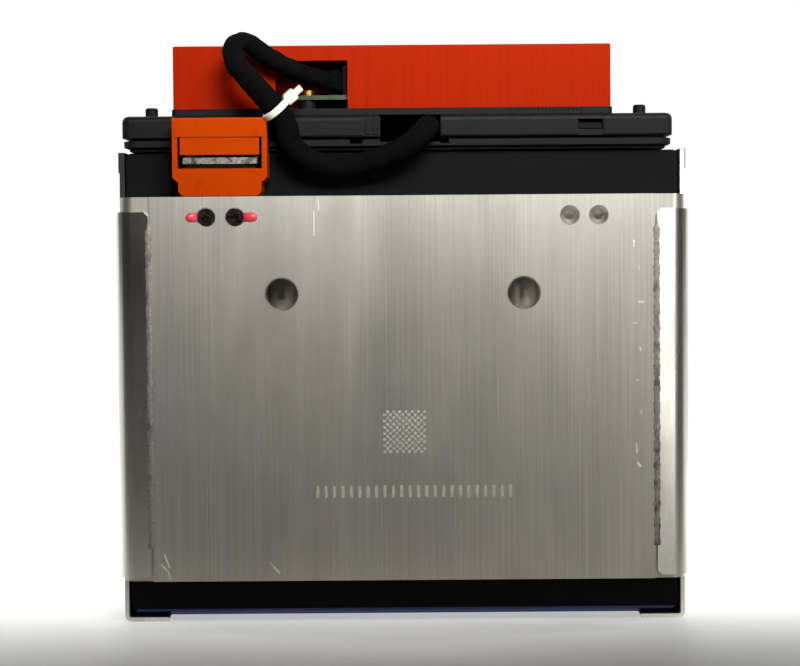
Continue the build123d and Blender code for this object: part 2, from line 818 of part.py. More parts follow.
with BuildPart() as terminal_cap_front:
    with BuildSketch(front_face(cap_front_depth)) as cap_outline:
        with BuildLine():
            Polyline(
                (bar_x - cap_foot_width / 2, cap_bottom),
                (bar_x - cap_foot_width / 2, cap_shoulder),
                (bar_x - cap_width / 2, cap_shoulder),
                (bar_x - cap_width / 2, cap_skirt_top),
                (bar_x + cap_width / 2, cap_skirt_top),
                (bar_x + cap_width / 2, cap_shoulder),
                (bar_x + cap_foot_width / 2, cap_shoulder),
                (bar_x + cap_foot_width / 2, cap_bottom),
                close=True,
            )
        make_face()
        fillet(cap_outline.vertices().group_by(Axis.Y)[0], cap_foot_radius)
        shoulders = cap_outline.vertices().filter_by_position(Axis.Y, cap_shoulder - 1e-3, cap_shoulder + 1e-3)
        chamfer(shoulders.group_by(Axis.X)[0] + shoulders.group_by(Axis.X)[-1], cap_shoulder_chamfer)
    extrude(amount=-(cap_skirt_depth - cap_front_depth))
    with BuildSketch(Plane.XY.offset(cap_skirt_top)):
        with Locations((bar_x, cap_middle)):
            Rectangle(cap_width, cap_back_depth - cap_front_depth)
    extrude(amount=cap_top - cap_skirt_top)
    rim = terminal_cap_front.faces().sort_by(Axis.Y)[0].edges().group_by(Axis.Z)[-1]
    fillet(rim, cap_edge_radius)
    # hollow
    with BuildSketch(Plane.XY.offset(cap_bottom)):
        with Locations((bar_x, y_at((cap_front_depth + cap_wall + cap_skirt_depth) / 2))):
            Rectangle(cap_foot_width - 2 * cap_wall, cap_skirt_depth - cap_front_depth - cap_wall)
    extrude(amount=cap_top - cap_wall - cap_bottom, mode=Mode.SUBTRACT)
    with BuildSketch(Plane.XY.offset(cap_shoulder + cap_wall)):
        with Locations((bar_x, y_at((cap_front_depth + cap_wall + cap_skirt_depth) / 2))):
            Rectangle(cap_width - 2 * cap_wall, cap_skirt_depth - cap_front_depth - cap_wall)
    extrude(amount=cap_top - 2 * cap_wall - cap_shoulder, mode=Mode.SUBTRACT)
    # slot for the mating bar
    with BuildSketch(front_face(cap_front_depth)):
        with Locations((bar_x, (cap_slot_bottom + cap_slot_top) / 2)):
            Rectangle(cap_slot_width, cap_slot_top - cap_slot_bottom)
    extrude(amount=-cap_wall, mode=Mode.SUBTRACT)
    # slits that free the tongue
    with BuildSketch(front_face(cap_front_depth)):
        with Locations((bar_x, (cap_slot_top + cap_band_bottom) / 2)):
            with GridLocations(cap_flap_width + cap_slit_width, 1, 2, 1):
                Rectangle(cap_slit_width, cap_band_bottom - cap_slot_top)
    extrude(amount=-cap_wall, mode=Mode.SUBTRACT)
    # head band, a little proud of the tongue
    with BuildSketch(front_face(cap_front_depth)):
        with Locations((bar_x, (cap_band_bottom + cap_top - cap_edge_radius) / 2)):
            Rectangle(cap_width - 2 * cap_edge_radius, cap_top - cap_edge_radius - cap_band_bottom)
    extrude(amount=cap_band_rise)
save(terminal_cap_front.part, "terminal_cap_front")

with BuildPart() as terminal_cap_rear:
    mirror(terminal_cap_front.part, about=Plane.XZ)
save(terminal_cap_rear.part, "terminal_cap_rear")

# ================================================================ monitoring unit
# Tray on the cover, circuit board on its posts, and a cover with a bay in its front
# for the wiring plug.
monitor_front = y_at(monitor_front_depth)
monitor_middle = monitor_front + monitor_length / 2
tray_front = y_at(tray_front_depth)
tray_length = monitor_length + 2 * (monitor_front_depth - tray_front_depth)
tray_width = monitor_width + 2 * tray_overhang
board_front = monitor_front + board_setback
board_middle = (board_left + board_right) / 2
post_grid = (board_right - board_left - 2 * board_post_inset, board_length - 2 * board_post_inset)

with BuildPart() as monitor_tray:
    with BuildSketch(Plane.XY.offset(cover_top)):
        with Locations((monitor_x, monitor_middle)):
            RectangleRounded(tray_width, tray_length, tray_corner)
    extrude(amount=monitor_bottom - cover_top)
    with BuildSketch(Plane.XY.offset(monitor_bottom)):
        with Locations((board_middle, board_front + board_length / 2)):
            with GridLocations(*post_grid, 2, 2):
                Circle(board_post_radius)
                Circle(board_screw_radius, mode=Mode.SUBTRACT)
    extrude(amount=board_bottom - monitor_bottom)
    # comb of small teeth along the front edge
    with BuildSketch(front_face(tray_front_depth)):
        with Locations((tray_teeth_start + tray_teeth_run / 2, monitor_bottom - tray_tooth_height / 2)):
            with GridLocations(tray_teeth_run / tray_teeth, 1, tray_teeth, 1):
                Rectangle(tray_tooth_width, tray_tooth_height)
    extrude(amount=-tray_tooth_width, mode=Mode.SUBTRACT)
save(monitor_tray.part, "monitor_tray")

with BuildPart() as monitor_board:
    with BuildSketch(Plane.XY.offset(board_bottom)):
        with Locations((board_middle, board_front + board_length / 2)):
            Rectangle(board_right - board_left, board_length)
            with GridLocations(*post_grid, 2, 2):
                Circle(board_screw_radius, mode=Mode.SUBTRACT)
    extrude(amount=board_thickness)
save(monitor_board.part, "monitor_board")

board_top = board_bottom + board_thickness
with BuildPart() as board_screws:
    with BuildSketch(Plane.XY.offset(board_top)):
        with Locations((board_middle, board_front + board_length / 2)):
            with GridLocations(*post_grid, 2, 2):
                Circle(board_screw_head_radius)
    extrude(amount=board_screw_head_height)
    with BuildSketch(Plane.XY.offset(monitor_bottom)):
        with Locations((board_middle, board_front + board_length / 2)):
            with GridLocations(*post_grid, 2, 2):
                Circle(board_screw_radius)
    extrude(amount=board_top - monitor_bottom)
save(board_screws.part, "board_screws")

with BuildPart() as board_chips:
    with BuildSketch(Plane.XY.offset(board_top)):
        with Locations((chip_centre[0], monitor_front + chip_centre[1])):
            with GridLocations(*chip_spacing, chip_columns, chip_rows):
                Rectangle(chip_size[0], chip_size[1])
    extrude(amount=chip_size[2])
save(board_chips.part, "board_chips")

# Socket on the board: open towards -X, ribbed on its outer faces.
socket_length, socket_depth, socket_height = socket_size
plug_start = Vector(harness_route[0][0], y_at(harness_route[0][1]), harness_route[0][2])
socket_y_middle = plug_start.Y
socket_left = socket_x - socket_length / 2
with BuildPart() as monitor_socket:
    with BuildSketch(Plane.XY.offset(board_top)):
        with Locations((socket_x, socket_y_middle)):
            Rectangle(socket_length, socket_depth)
    extrude(amount=socket_height)
    with BuildSketch(Plane.YZ.offset(socket_left)):
        with Locations((socket_y_middle, board_top + socket_height / 2)):
            Rectangle(socket_depth - 2 * socket_wall, socket_height - 2 * socket_wall)
    extrude(amount=plug_length / 2, mode=Mode.SUBTRACT)
    with BuildSketch(front_face(harness_route[0][1] - socket_depth / 2)):
        with Locations((socket_x, board_top + socket_height / 2)):
            with GridLocations(socket_length / socket_ribs, 1, socket_ribs, 1):
                Rectangle(socket_rib_width, socket_height)
    extrude(amount=socket_rib_rise)
save(monitor_socket.part, "monitor_socket")

# Red cover: a five-sided box with the plug bay let into its front wall.
bay_middle = (bay_left + bay_right) / 2
bay_width = bay_right - bay_left
with BuildPart() as monitor_cover:
    with BuildSketch(Plane.XY.offset(monitor_bottom)):
        with Locations((monitor_x, monitor_middle)):
            Rectangle(monitor_width, monitor_length)
    extrude(amount=monitor_top - monitor_bottom)
    fillet(monitor_cover.edges().filter_by(Axis.Z), monitor_edge_radius)
    fillet(monitor_cover.faces().sort_by(Axis.Z)[-1].edges(), monitor_edge_radius)
    with BuildSketch(Plane.XY.offset(monitor_bottom)):
        with Locations((monitor_x, monitor_middle)):
            Rectangle(monitor_width - 2 * monitor_wall, monitor_length - 2 * monitor_wall)
    extrude(amount=monitor_top - monitor_bottom - monitor_wall, mode=Mode.SUBTRACT)
    # the bay's own walls: roof, left side and back, the back raised over the board
    with BuildSketch(Plane.XY.offset(monitor_bottom)):
        with Locations((bay_middle, monitor_front + bay_depth / 2)):
            Rectangle(bay_width + 2 * bay_wall, bay_depth + 2 * bay_wall, align=(Align.CENTER, Align.CENTER))
    extrude(amount=bay_top + bay_wall - monitor_bottom)
    with BuildSketch(Plane.XY.offset(monitor_bottom)):
        with Locations((bay_middle + bay_wall, monitor_front + bay_depth / 2)):
            Rectangle(bay_width + 2 * bay_wall, bay_depth)
    extrude(amount=bay_top - monitor_bottom, mode=Mode.SUBTRACT)
    with BuildSketch(Plane.XY.offset(monitor_bottom)):
        with Locations((bay_middle, monitor_front - bay_wall / 2)):
            Rectangle(bay_width + 2 * bay_wall, bay_wall)
    extrude(amount=monitor_top - monitor_bottom, mode=Mode.SUBTRACT)
    board_gap_bottom = board_bottom - board_gap
    board_gap_left = board_left - board_gap
    with BuildSketch(front_face(monitor_front_depth + bay_depth)):
        with Locations(((board_gap_left + bay_right + bay_wall) / 2, (monitor_bottom + board_top + board_gap) / 2)):
            Rectangle(bay_right + bay_wall - board_gap_left, board_top + board_gap - monitor_bottom)
    extrude(amount=-2 * bay_wall, mode=Mode.SUBTRACT)
    # front wall right of the bay, closed again where the bay's cut ran past it
    with BuildSketch(Plane.XY.offset(monitor_bottom)):
        with Locations((bay_right + bay_wall, monitor_front + monitor_wall / 2)):
            Rectangle(2 * bay_wall, monitor_wall)
    extrude(amount=bay_top - monitor_bottom + bay_wall)
save(monitor_cover.part, "monitor_cover")

# ================================================================ wiring loop
# A taped harness from the board's plug, folded back over the cover and into its notch.
route = [Vector(x, y_at(depth), z) for x, depth, z in harness_route]


def route_radii(points):
    """Return one bend radius per inner point, as large as its two runs allow."""
    radii = []
    for before, corner, after in zip(points, points[1:], points[2:]):
        into = corner - before
        out = after - corner
        turn = into.get_angle(out)
        radii.append(0.45 * min(into.length, out.length) / tan(radians(turn) / 2))
        print(f"harness bend {turn:.1f} deg, radius {radii[-1]:.1f} mm")
    return radii


with BuildPart() as harness:
    with BuildLine() as harness_line:
        FilletPolyline(*route, radius=route_radii(route))
    with BuildSketch(Plane(origin=route[0], z_dir=route[1] - route[0])):
        Circle(harness_diameter / 2)
    sweep()
save(harness.part, "harness")
harness_length = harness_line.wires()[0].length
print(f"harness length {harness_length:.1f} mm, volume {harness.part.volume:.0f} mm3")

with BuildPart() as harness_plug:
    plug_plane = Plane(origin=route[0], x_dir=(0, 1, 0), z_dir=route[0] - route[1])
    with BuildSketch(plug_plane):
        Circle(harness_diameter / 2)
    with BuildSketch(Plane.YZ.offset(socket_left - socket_wall)):
        with Locations((socket_y_middle, board_top + socket_height / 2)):
            RectangleRounded(plug_depth, plug_height, plug_corner)
    loft()
    with BuildSketch(Plane.YZ.offset(socket_left - socket_wall)):
        with Locations((socket_y_middle, board_top + socket_height / 2)):
            Rectangle(plug_depth - 2 * socket_wall, plug_height - 2 * socket_wall)
    extrude(amount=plug_length / 2)
save(harness_plug.part, "harness_plug")

tie_start = route[tie_index]
tie_run = route[tie_index + 1] - tie_start
tie_plane = Plane(origin=tie_start + tie_run * tie_place, x_dir=(1, 0, 0.8), z_dir=tie_run)
tie_inner = harness_diameter / 2 + tie_clearance
with BuildPart() as cable_tie:
    with BuildSketch(tie_plane):
        Circle(tie_inner + tie_thickness)
        Circle(tie_inner, mode=Mode.SUBTRACT)
    extrude(amount=tie_width / 2, both=True)
    with BuildSketch(tie_plane):
        with Locations((tie_inner + tie_head[0] / 2, 0)):
            Rectangle(tie_head[0], tie_head[1])
    extrude(amount=tie_head[2] / 2, both=True)
    with BuildSketch(tie_plane):
        with Locations((tie_inner + tie_head[0] + tie_tail_length / 2, 0)):
            Rectangle(tie_tail_length, tie_thickness)
    extrude(amount=tie_width / 2, both=True)
save(cable_tie.part, "cable_tie")
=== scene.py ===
"""Looks of a traction battery module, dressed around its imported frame.

Metres, +Z up.  X runs across the module and Y along its row of cells; the end with the
wiring loop is at -Y.  Everything rides on the one body, "root".
"""

import logging
import math
from dataclasses import dataclass
from enum import Enum

import bmesh
import bpy
import numpy as np
from mathutils import Matrix, Vector


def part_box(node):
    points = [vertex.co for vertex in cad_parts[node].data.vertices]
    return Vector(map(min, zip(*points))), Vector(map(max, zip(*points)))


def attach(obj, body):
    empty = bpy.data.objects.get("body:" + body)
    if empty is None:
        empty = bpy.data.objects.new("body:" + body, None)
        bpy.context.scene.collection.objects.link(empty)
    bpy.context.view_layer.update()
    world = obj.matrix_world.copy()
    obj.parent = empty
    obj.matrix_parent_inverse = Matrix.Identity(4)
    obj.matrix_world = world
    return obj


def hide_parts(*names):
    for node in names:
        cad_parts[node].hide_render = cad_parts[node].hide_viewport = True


log = logging.getLogger("battery_module")
MM = 0.001
BODY = "root"
MERGE_WITHIN = 1e-6      # points closer than this are one point
FLAT_WITHIN = 1e-7       # edges shorter than this are dissolved


# ------------------------------------------------------------------ small tools
def linear(hex_colour: str) -> tuple[float, float, float, float]:
    """Turn an sRGB hex colour into a linear RGBA tuple.

    The sRGB curve is a straight line near black and a power of 2.4 above it.

    Args:
        hex_colour: six hex digits, such as "d8d4c9".

    Returns:
        The linear red, green and blue with an alpha of one.
    """
    channels = [int(hex_colour[i:i + 2], 16) / 255 for i in (0, 2, 4)]
    red, green, blue = [c / 12.92 if c <= 0.04045 else ((c + 0.055) / 1.055) ** 2.4 for c in channels]
    return (red, green, blue, 1.0)


def add_node(tree: bpy.types.NodeTree, kind: str, settings: dict | None = None,
             inputs: dict | None = None) -> bpy.types.Node:
    """Add a node, set its properties and its sockets, and link what is a socket.

    Args:
        tree: the node tree it goes into.
        kind: the node's type name.
        settings: property names and values.
        inputs: socket names or indices, each with a value or an output socket.

    Returns:
        The new node.
    """
    node = tree.nodes.new(kind)
    for key, value in (settings or {}).items():
        setattr(node, key, value)
    for key, value in (inputs or {}).items():
        if isinstance(value, bpy.types.NodeSocket):
            tree.links.new(value, node.inputs[key])
        else:
            node.inputs[key].default_value = value
    return node


def mesh_piece(name: str, points: np.ndarray, faces: np.ndarray) -> bpy.types.Object:
    """Make a linked mesh object from points and faces.

    Args:
        name: the piece's name.
        points: an array of any shape that ends in 3, in metres.
        faces: an array of shape (n, 4) with the corners of each face.

    Returns:
        The linked object.
    """
    mesh = bpy.data.meshes.new(name)
    mesh.from_pydata(points.reshape(-1, 3).tolist(), [], faces.tolist())
    mesh.update()
    piece = bpy.data.objects.new(name, mesh)
    bpy.context.scene.collection.objects.link(piece)
    return piece


def grid_mesh(name: str, points: np.ndarray, closed_u: bool = False,
              closed_v: bool = False) -> bpy.types.Object:
    """Make a mesh object from a grid of points, with quads between neighbours.

    Args:
        name: the piece's name.
        points: an array of shape (u, v, 3), in metres.
        closed_u: whether the last row joins the first.
        closed_v: whether the last column joins the first.

    Returns:
        The linked object, with its UV map running 0 to 1 along both parameters.
    """
    rows, columns, _ = points.shape
    u = np.arange(rows if closed_u else rows - 1)
    v = np.arange(columns if closed_v else columns - 1)
    uu, vv = (a.ravel() for a in np.meshgrid(u, v, indexing="ij"))
    un, vn = (uu + 1) % rows, (vv + 1) % columns
    corners = [uu * columns + vv, un * columns + vv, un * columns + vn, uu * columns + vn]
    piece = mesh_piece(name, points, np.stack(corners, axis=1))
    corners_u = np.stack([uu, uu + 1, uu + 1, uu], axis=1) / len(u)
    corners_v = np.stack([vv, vv, vv + 1, vv + 1], axis=1) / len(v)
    layer = piece.data.uv_layers.new(name="UVMap")
    layer.data.foreach_set("uv", np.stack([corners_u, corners_v], axis=2).ravel())
    piece.data.shade_smooth()
    return piece


def close_shell(piece: bpy.types.Object) -> None:
    """Merge a shell's pole points and turn its faces outwards."""
    shell = bmesh.new()
    shell.from_mesh(piece.data)
    bmesh.ops.remove_doubles(shell, verts=shell.verts, dist=MERGE_WITHIN)
    bmesh.ops.dissolve_degenerate(shell, edges=shell.edges, dist=FLAT_WITHIN)
    bmesh.ops.recalc_face_normals(shell, faces=shell.faces)
    shell.to_mesh(piece.data)
    shell.free()


def join(pieces: list[bpy.types.Object]) -> bpy.types.Object:
    """Join meshes into one, each closed and turned outwards first.

    Args:
        pieces: the meshes; the first one takes in the others.

    Returns:
        The first piece.
    """
    for piece in pieces:
        close_shell(piece)
    with bpy.context.temp_override(active_object=pieces[0], selected_editable_objects=pieces):
        bpy.ops.object.join()
    return pieces[0]


def dress(piece: bpy.types.Object, material: bpy.types.Material, slot: str | None = None) -> None:
    """Give a piece its only material and, when it is new, its body.

    Args:
        piece: the mesh to dress.
        material: its finish.
        slot: the slot meant for a new piece, read only to tell that the piece is new and takes the body; a
            CAD node has its own already.
    """
    piece.data.materials.clear()
    piece.data.materials.append(material)
    if slot:
        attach(piece, BODY)


def smooth_step(value: np.ndarray) -> np.ndarray:
    """Return the smooth step 3t^2 - 2t^3 of values clipped to 0..1."""
    t = np.clip(value, 0.0, 1.0)
    return t * t * (3 - 2 * t)


def rounded_section(thickness: float, width: float, radius: float,
                    corner_steps: int = 4) -> np.ndarray:
    """Return a rounded rectangle round its middle: a quarter circle at each corner.

    Args:
        thickness: its size along the first axis.
        width: its size along the second axis.
        radius: rounding of its corners.
        corner_steps: points on each corner.

    Returns:
        The closed outline, shape (4 * corner_steps, 2).
    """
    corners = []
    for turn, (sx, sy) in enumerate(((1, 1), (-1, 1), (-1, -1), (1, -1))):
        angle = turn * np.pi / 2 + np.linspace(0, np.pi / 2, corner_steps)
        centre = np.array((sx * (thickness / 2 - radius), sy * (width / 2 - radius)))
        corners.append(centre + radius * np.stack([np.cos(angle), np.sin(angle)], axis=1))
    return np.concatenate(corners)


# ------------------------------------------------------------------ finishes
class Grain(Enum):
    """Size in millimetres, along X, Y and Z, of a finish's finest pattern.

    Die lines, mould grain, tape fuzz and weld pits are finer than this on real surfaces,
    and are drawn as coarse as they need to be to show.
    """

    DIE_LINES = (0.5, 0.5, 70.0)
    ROLLED = (0.6, 40.0, 25.0)
    MOULDED = (0.5, 0.5, 0.5)
    STRIATED = (0.9, 0.9, 60.0)
    TAPE = (0.7, 0.7, 0.7)
    WELD = (0.9, 0.9, 0.7)
    FILM = (6.0, 6.0, 6.0)


@dataclass(frozen=True)
class Finish:
    """One surface finish: two base colours, a stain colour, gloss and relief.

    The fine pattern mixes light and dark, a broad pattern adds the stain and moves the
    roughness, and the fine pattern also drives the bump.  spring tilts the shading by a
    slope, as a height that falls along the distance from the module's middle: it stands
    for tabs whose outer edge has sprung back, and nothing in the mesh is bent by it.
    """

    name: str
    light: str
    dark: str
    stain: str
    grain: Grain
    patch_mm: tuple[float, float, float]
    metallic: float = 0.0
    roughness: tuple[float, float] = (0.45, 0.6)
    roughness_reach: tuple[float, float] = (0.3, 0.7)
    ior: float = 1.5
    bump_mm: float = 0.03
    bump_strength: float = 0.6
    contrast: float = 0.25
    stain_reach: tuple[float, float] = (0.5, 0.75)
    fine_detail: float = 3.0
    broad_detail: float = 5.0
    coat: float = 0.0
    coat_roughness: float = 0.25
    spring: float = 0.0
    specular: float = 0.5

    def noise(self, tree: bpy.types.NodeTree, place: bpy.types.NodeSocket,
              size_mm: tuple[float, float, float], detail: float) -> bpy.types.NodeSocket:
        """Add noise whose features have a size in millimetres along each axis.

        Args:
            tree: the material's node tree.
            place: the coordinates it reads.
            size_mm: the features' size along X, Y and Z.
            detail: number of finer layers in the noise.

        Returns:
            The noise's value.
        """
        scale = tuple(1 / (size * MM) for size in size_mm)
        stretch = add_node(tree, "ShaderNodeMapping", inputs={"Vector": place, "Scale": scale})
        noise = add_node(tree, "ShaderNodeTexNoise", inputs={
            "Vector": stretch.outputs[0], "Scale": 1.0, "Detail": detail})
        return noise.outputs["Fac"]

    def colour(self, tree: bpy.types.NodeTree, fine: bpy.types.NodeSocket,
               broad: bpy.types.NodeSocket) -> bpy.types.NodeSocket:
        """Mix dark and light by the fine pattern, then add the stain by the broad one.

        Args:
            tree: the material's node tree.
            fine: the fine pattern.
            broad: the broad pattern.

        Returns:
            The colour.  On a colour mix, 0 is the share, 6 and 7 are the two colours and
            output 2 is the result.
        """
        half = self.contrast / 2
        fine_step = add_node(tree, "ShaderNodeMapRange", inputs={
            "Value": fine, "From Min": 0.5 - half, "From Max": 0.5 + half})
        stain_step = add_node(tree, "ShaderNodeMapRange", {"interpolation_type": "SMOOTHSTEP"}, {
            "Value": broad, "From Min": self.stain_reach[0], "From Max": self.stain_reach[1]})
        tone = add_node(tree, "ShaderNodeMix", {"data_type": "RGBA"}, {
            0: fine_step.outputs[0], 6: linear(self.dark), 7: linear(self.light)})
        stained = add_node(tree, "ShaderNodeMix", {"data_type": "RGBA"}, {
            0: stain_step.outputs[0], 6: tone.outputs[2], 7: linear(self.stain)})
        return stained.outputs[2]

    def relief(self, tree: bpy.types.NodeTree, place: bpy.types.NodeSocket,
               fine: bpy.types.NodeSocket) -> bpy.types.NodeSocket:
        """Bump the surface by the fine pattern, and tilt it when there is a spring.

        Args:
            tree: the material's node tree.
            place: the coordinates the tilt reads.
            fine: the fine pattern.

        Returns:
            The shading normal.
        """
        bump = add_node(tree, "ShaderNodeBump", inputs={
            "Strength": self.bump_strength, "Distance": self.bump_mm * MM, "Height": fine})
        if not self.spring:
            return bump.outputs[0]
        split = add_node(tree, "ShaderNodeSeparateXYZ", inputs={0: place})
        off = add_node(tree, "ShaderNodeMath", {"operation": "ABSOLUTE"}, {0: split.outputs["X"]})
        fall = add_node(tree, "ShaderNodeMath", {"operation": "MULTIPLY"}, {
            0: off.outputs[0], 1: -self.spring})
        tilt = add_node(tree, "ShaderNodeBump", inputs={
            "Strength": 1.0, "Distance": 1.0, "Height": fall.outputs[0], "Normal": bump.outputs[0]})
        return tilt.outputs[0]

    def build(self) -> bpy.types.Material:
        """Build the node material.

        Returns:
            The material, named after the finish.
        """
        material = bpy.data.materials.new(self.name)
        material.use_nodes = True
        tree = material.node_tree
        tree.nodes.clear()
        place = add_node(tree, "ShaderNodeTexCoord").outputs["Object"]
        fine = self.noise(tree, place, self.grain.value, self.fine_detail)
        broad = self.noise(tree, place, self.patch_mm, self.broad_detail)
        gloss = add_node(tree, "ShaderNodeMapRange", inputs={
            "Value": broad, "From Min": self.roughness_reach[0], "From Max": self.roughness_reach[1],
            "To Min": self.roughness[0], "To Max": self.roughness[1]})
        shader = add_node(tree, "ShaderNodeBsdfPrincipled", inputs={
            "Base Color": self.colour(tree, fine, broad), "Metallic": self.metallic,
            "Roughness": gloss.outputs[0], "IOR": self.ior, "Specular IOR Level": self.specular,
            "Coat Weight": self.coat, "Coat Roughness": self.coat_roughness,
            "Normal": self.relief(tree, place, fine)})
        add_node(tree, "ShaderNodeOutputMaterial", inputs={0: shader.outputs[0]})
        return material


# Mill-finish extruded aluminium: upright die lines and dull handling stains.
END_PLATE = Finish("mill_aluminium_extrusion", "d4cfc5", "bdb8ad", "b0aba1", Grain.DIE_LINES,
                   (26.0, 26.0, 90.0), metallic=1.0, roughness=(0.38, 0.46), bump_mm=0.015,
                   contrast=0.5)
# Rolled aluminium sheet: brighter and smoother than the extrusion.
SIDE_SHEET = Finish("rolled_aluminium_sheet", "e0dcd3", "cfcac0", "c2bdb3", Grain.ROLLED,
                    (20.0, 60.0, 60.0), metallic=1.0, roughness=(0.2, 0.3), bump_mm=0.008,
                    contrast=0.6, spring=0.14)
# Laser weld: sooty grey bead, rough and pitted.
WELD = Finish("laser_weld_bead", "a8a49b", "7b7770", "64605a", Grain.WELD, (3.0, 3.0, 5.0),
              metallic=0.9, roughness=(0.5, 0.75), bump_mm=0.12, contrast=0.5)
# Blue polyester cell wrap over the can: even colour, soft gloss.
CELL_WRAP = Finish("blue_cell_wrap", "14225a", "0d1848", "0a1138", Grain.FILM,
                   (30.0, 30.0, 30.0), roughness=(0.3, 0.45), bump_mm=0.05)
# Dark insulating film: thin, faintly purple, slightly wavy.
DARK_FILM = Finish("dark_insulating_film", "1c1722", "120f18", "242030", Grain.FILM,
                   (12.0, 12.0, 12.0), roughness=(0.35, 0.5), bump_mm=0.05)
# Glass-filled black moulding: fine satin grain, slightly dusty.
BLACK_COVER = Finish("black_moulded_cover", "100f0f", "0b0b0b", "131212", Grain.MOULDED,
                     (9.0, 9.0, 9.0), roughness=(0.5, 0.65), bump_mm=0.02, specular=0.11)
# Plain black moulding for the parts in the shade: matt and near black, partly its own colour and partly
# painted shade, darker and duller than the cover's moulding.
BLACK_IN_PAINTED_SHADE = Finish("black_moulding_painted_shade", "0a0a0a", "070707", "0d0d0d", Grain.MOULDED,
                     (16.0, 16.0, 16.0), roughness=(0.6, 0.75), bump_mm=0.02, specular=0.06)
# Orange polyamide moulding: deep even colour, satin.
ORANGE_CAP = Finish("orange_moulded_cap", "a23400", "9c3100", "952e00", Grain.MOULDED,
                    (5.0, 5.0, 5.0), roughness=(0.38, 0.5), bump_mm=0.015, specular=0.02)
# Red plastic with fine upright striations.
RED_COVER = Finish("red_striated_cover", "8b1b02", "811700", "851900", Grain.STRIATED,
                   (8.0, 8.0, 30.0), roughness=(0.36, 0.5), bump_mm=0.03, contrast=0.6,
                   specular=0.02)
# Solder mask over glass fibre: dark green and glossy.
GREEN_BOARD = Finish("green_solder_mask", "2b3318", "232a13", "343c1e", Grain.MOULDED,
                     (4.0, 4.0, 4.0), roughness=(0.3, 0.4), bump_mm=0.02)
# Polyimide film over copper: amber, smooth and glossy.
AMBER_FLEX = Finish("amber_flexible_circuit", "8a5a1c", "774a14", "6b4212", Grain.FILM,
                    (9.0, 9.0, 9.0), roughness=(0.25, 0.4))
# Foamed pad between cells: pale, dry and matt.
PALE_FOAM = Finish("pale_foam_pad", "cfccc2", "bdb9af", "b3afa5", Grain.MOULDED,
                   (12.0, 12.0, 12.0), roughness=(0.8, 0.9), bump_mm=0.1)
# Tinned copper bar: warm silver with dark scuffs.
TINNED_BAR = Finish("tinned_copper_bar", "e8e2d0", "8f8a7c", "5f5b52", Grain.WELD,
                    (4.0, 4.0, 3.0), metallic=1.0, roughness=(0.2, 0.42), bump_mm=0.1,
                    contrast=0.5)
# Pressed aluminium link: bright, clean sheet.
BARE_LINK = Finish("pressed_aluminium_link", "d3d1cb", "b9b7b0", "a8a69f", Grain.ROLLED,
                   (10.0, 10.0, 10.0), metallic=1.0, roughness=(0.3, 0.45))
# Dark oxide on a steel screw: brown-black metal with worn edges.
DARK_SCREW = Finish("dark_oxide_screw", "4a3e3c", "1d1716", "2a2120", Grain.MOULDED,
                    (1.5, 1.5, 1.5), metallic=1.0, roughness=(0.25, 0.45), bump_mm=0.05)
# Turned brass: yellow metal, lightly dulled.
BRASS = Finish("brass_fitting", "d9a05c", "b67e3e", "94642f", Grain.MOULDED,
               (2.0, 2.0, 2.0), metallic=1.0, roughness=(0.2, 0.4))
# Zinc plate on steel: grey-white metal, satin.
ZINC = Finish("zinc_plated_steel", "c9c8c2", "a5a49e", "8f8e88", Grain.MOULDED,
              (3.0, 3.0, 3.0), metallic=1.0, roughness=(0.3, 0.45))
# Black fleece harness tape: matt and fuzzy.
HARNESS_TAPE = Finish("black_fleece_tape", "060606", "030303", "090808", Grain.TAPE,
                      (5.0, 5.0, 5.0), roughness=(0.85, 0.95), bump_mm=0.25, contrast=0.5,
                      specular=0.05)
# Natural nylon: warm white with a soft sheen over it.
WHITE_NYLON = Finish("natural_nylon", "dedccb", "cfccb8", "c4c1ac", Grain.MOULDED,
                     (3.0, 3.0, 3.0), roughness=(0.35, 0.5), bump_mm=0.01, coat=0.2)
# Brushed-on witness paint: uneven pinkish red.
RED_PAINT = Finish("red_witness_paint", "d4424c", "b82c38", "c85a5e", Grain.MOULDED,
                   (1.6, 1.6, 1.6), roughness=(0.3, 0.5), bump_mm=0.05, contrast=0.5)
# Laser-etched aluminium: pale, dry, without the plate's shine.
ETCH = Finish("laser_etched_patch", "cfccc2", "a7a49b", "b9b6ad", Grain.WELD,
              (2.0, 2.0, 2.0), metallic=0.6, roughness=(0.6, 0.75), contrast=0.4)
# Fresh metal in a scratch: nearly white; it also paints a highlight streak near the top of the front plate.
SCRATCH_AND_HIGHLIGHT = Finish("fresh_scratch_and_painted_highlight", "f4f2ec", "d9d6cf", "e6e3dc", Grain.WELD,
                 (1.0, 1.0, 2.0), metallic=0.7, roughness=(0.6, 0.7), contrast=0.5)

# The finish of each CAD node, by how the node's name starts; "harness" takes in its plug.
CAD_FINISHES: tuple[tuple[Finish, tuple[str, ...]], ...] = (
    (END_PLATE, ("end_plate_",)),
    (SIDE_SHEET, ("side_plate_",)),
    (CELL_WRAP, ("cell_0", "cell_1")),
    (BARE_LINK, ("cell_link_",)),
    (PALE_FOAM, ("cell_pads",)),
    (DARK_FILM, ("side_film_",)),
    # These parts take the black moulding darkened by painted shade.
    (BLACK_IN_PAINTED_SHADE, ("end_insulator_", "terminal_base_", "sensing_socket", "board_chips",
                   "monitor_socket")),
    (BLACK_COVER, ("top_cover", "busbar_carrier", "monitor_tray")),
    (ORANGE_CAP, ("terminal_cap_",)),
    (RED_COVER, ("monitor_cover",)),
    (GREEN_BOARD, ("monitor_board",)),
    (AMBER_FLEX, ("sensing_flex",)),
    (TINNED_BAR, ("output_busbar_",)),
    (DARK_SCREW, ("terminal_screws",)),
    (BRASS, ("board_screws",)),
    (ZINC, ("terminal_nuts",)),
    (WELD, ("weld_seams",)),
    (HARNESS_TAPE, ("harness",)),
    (WHITE_NYLON, ("cable_tie",)),
)


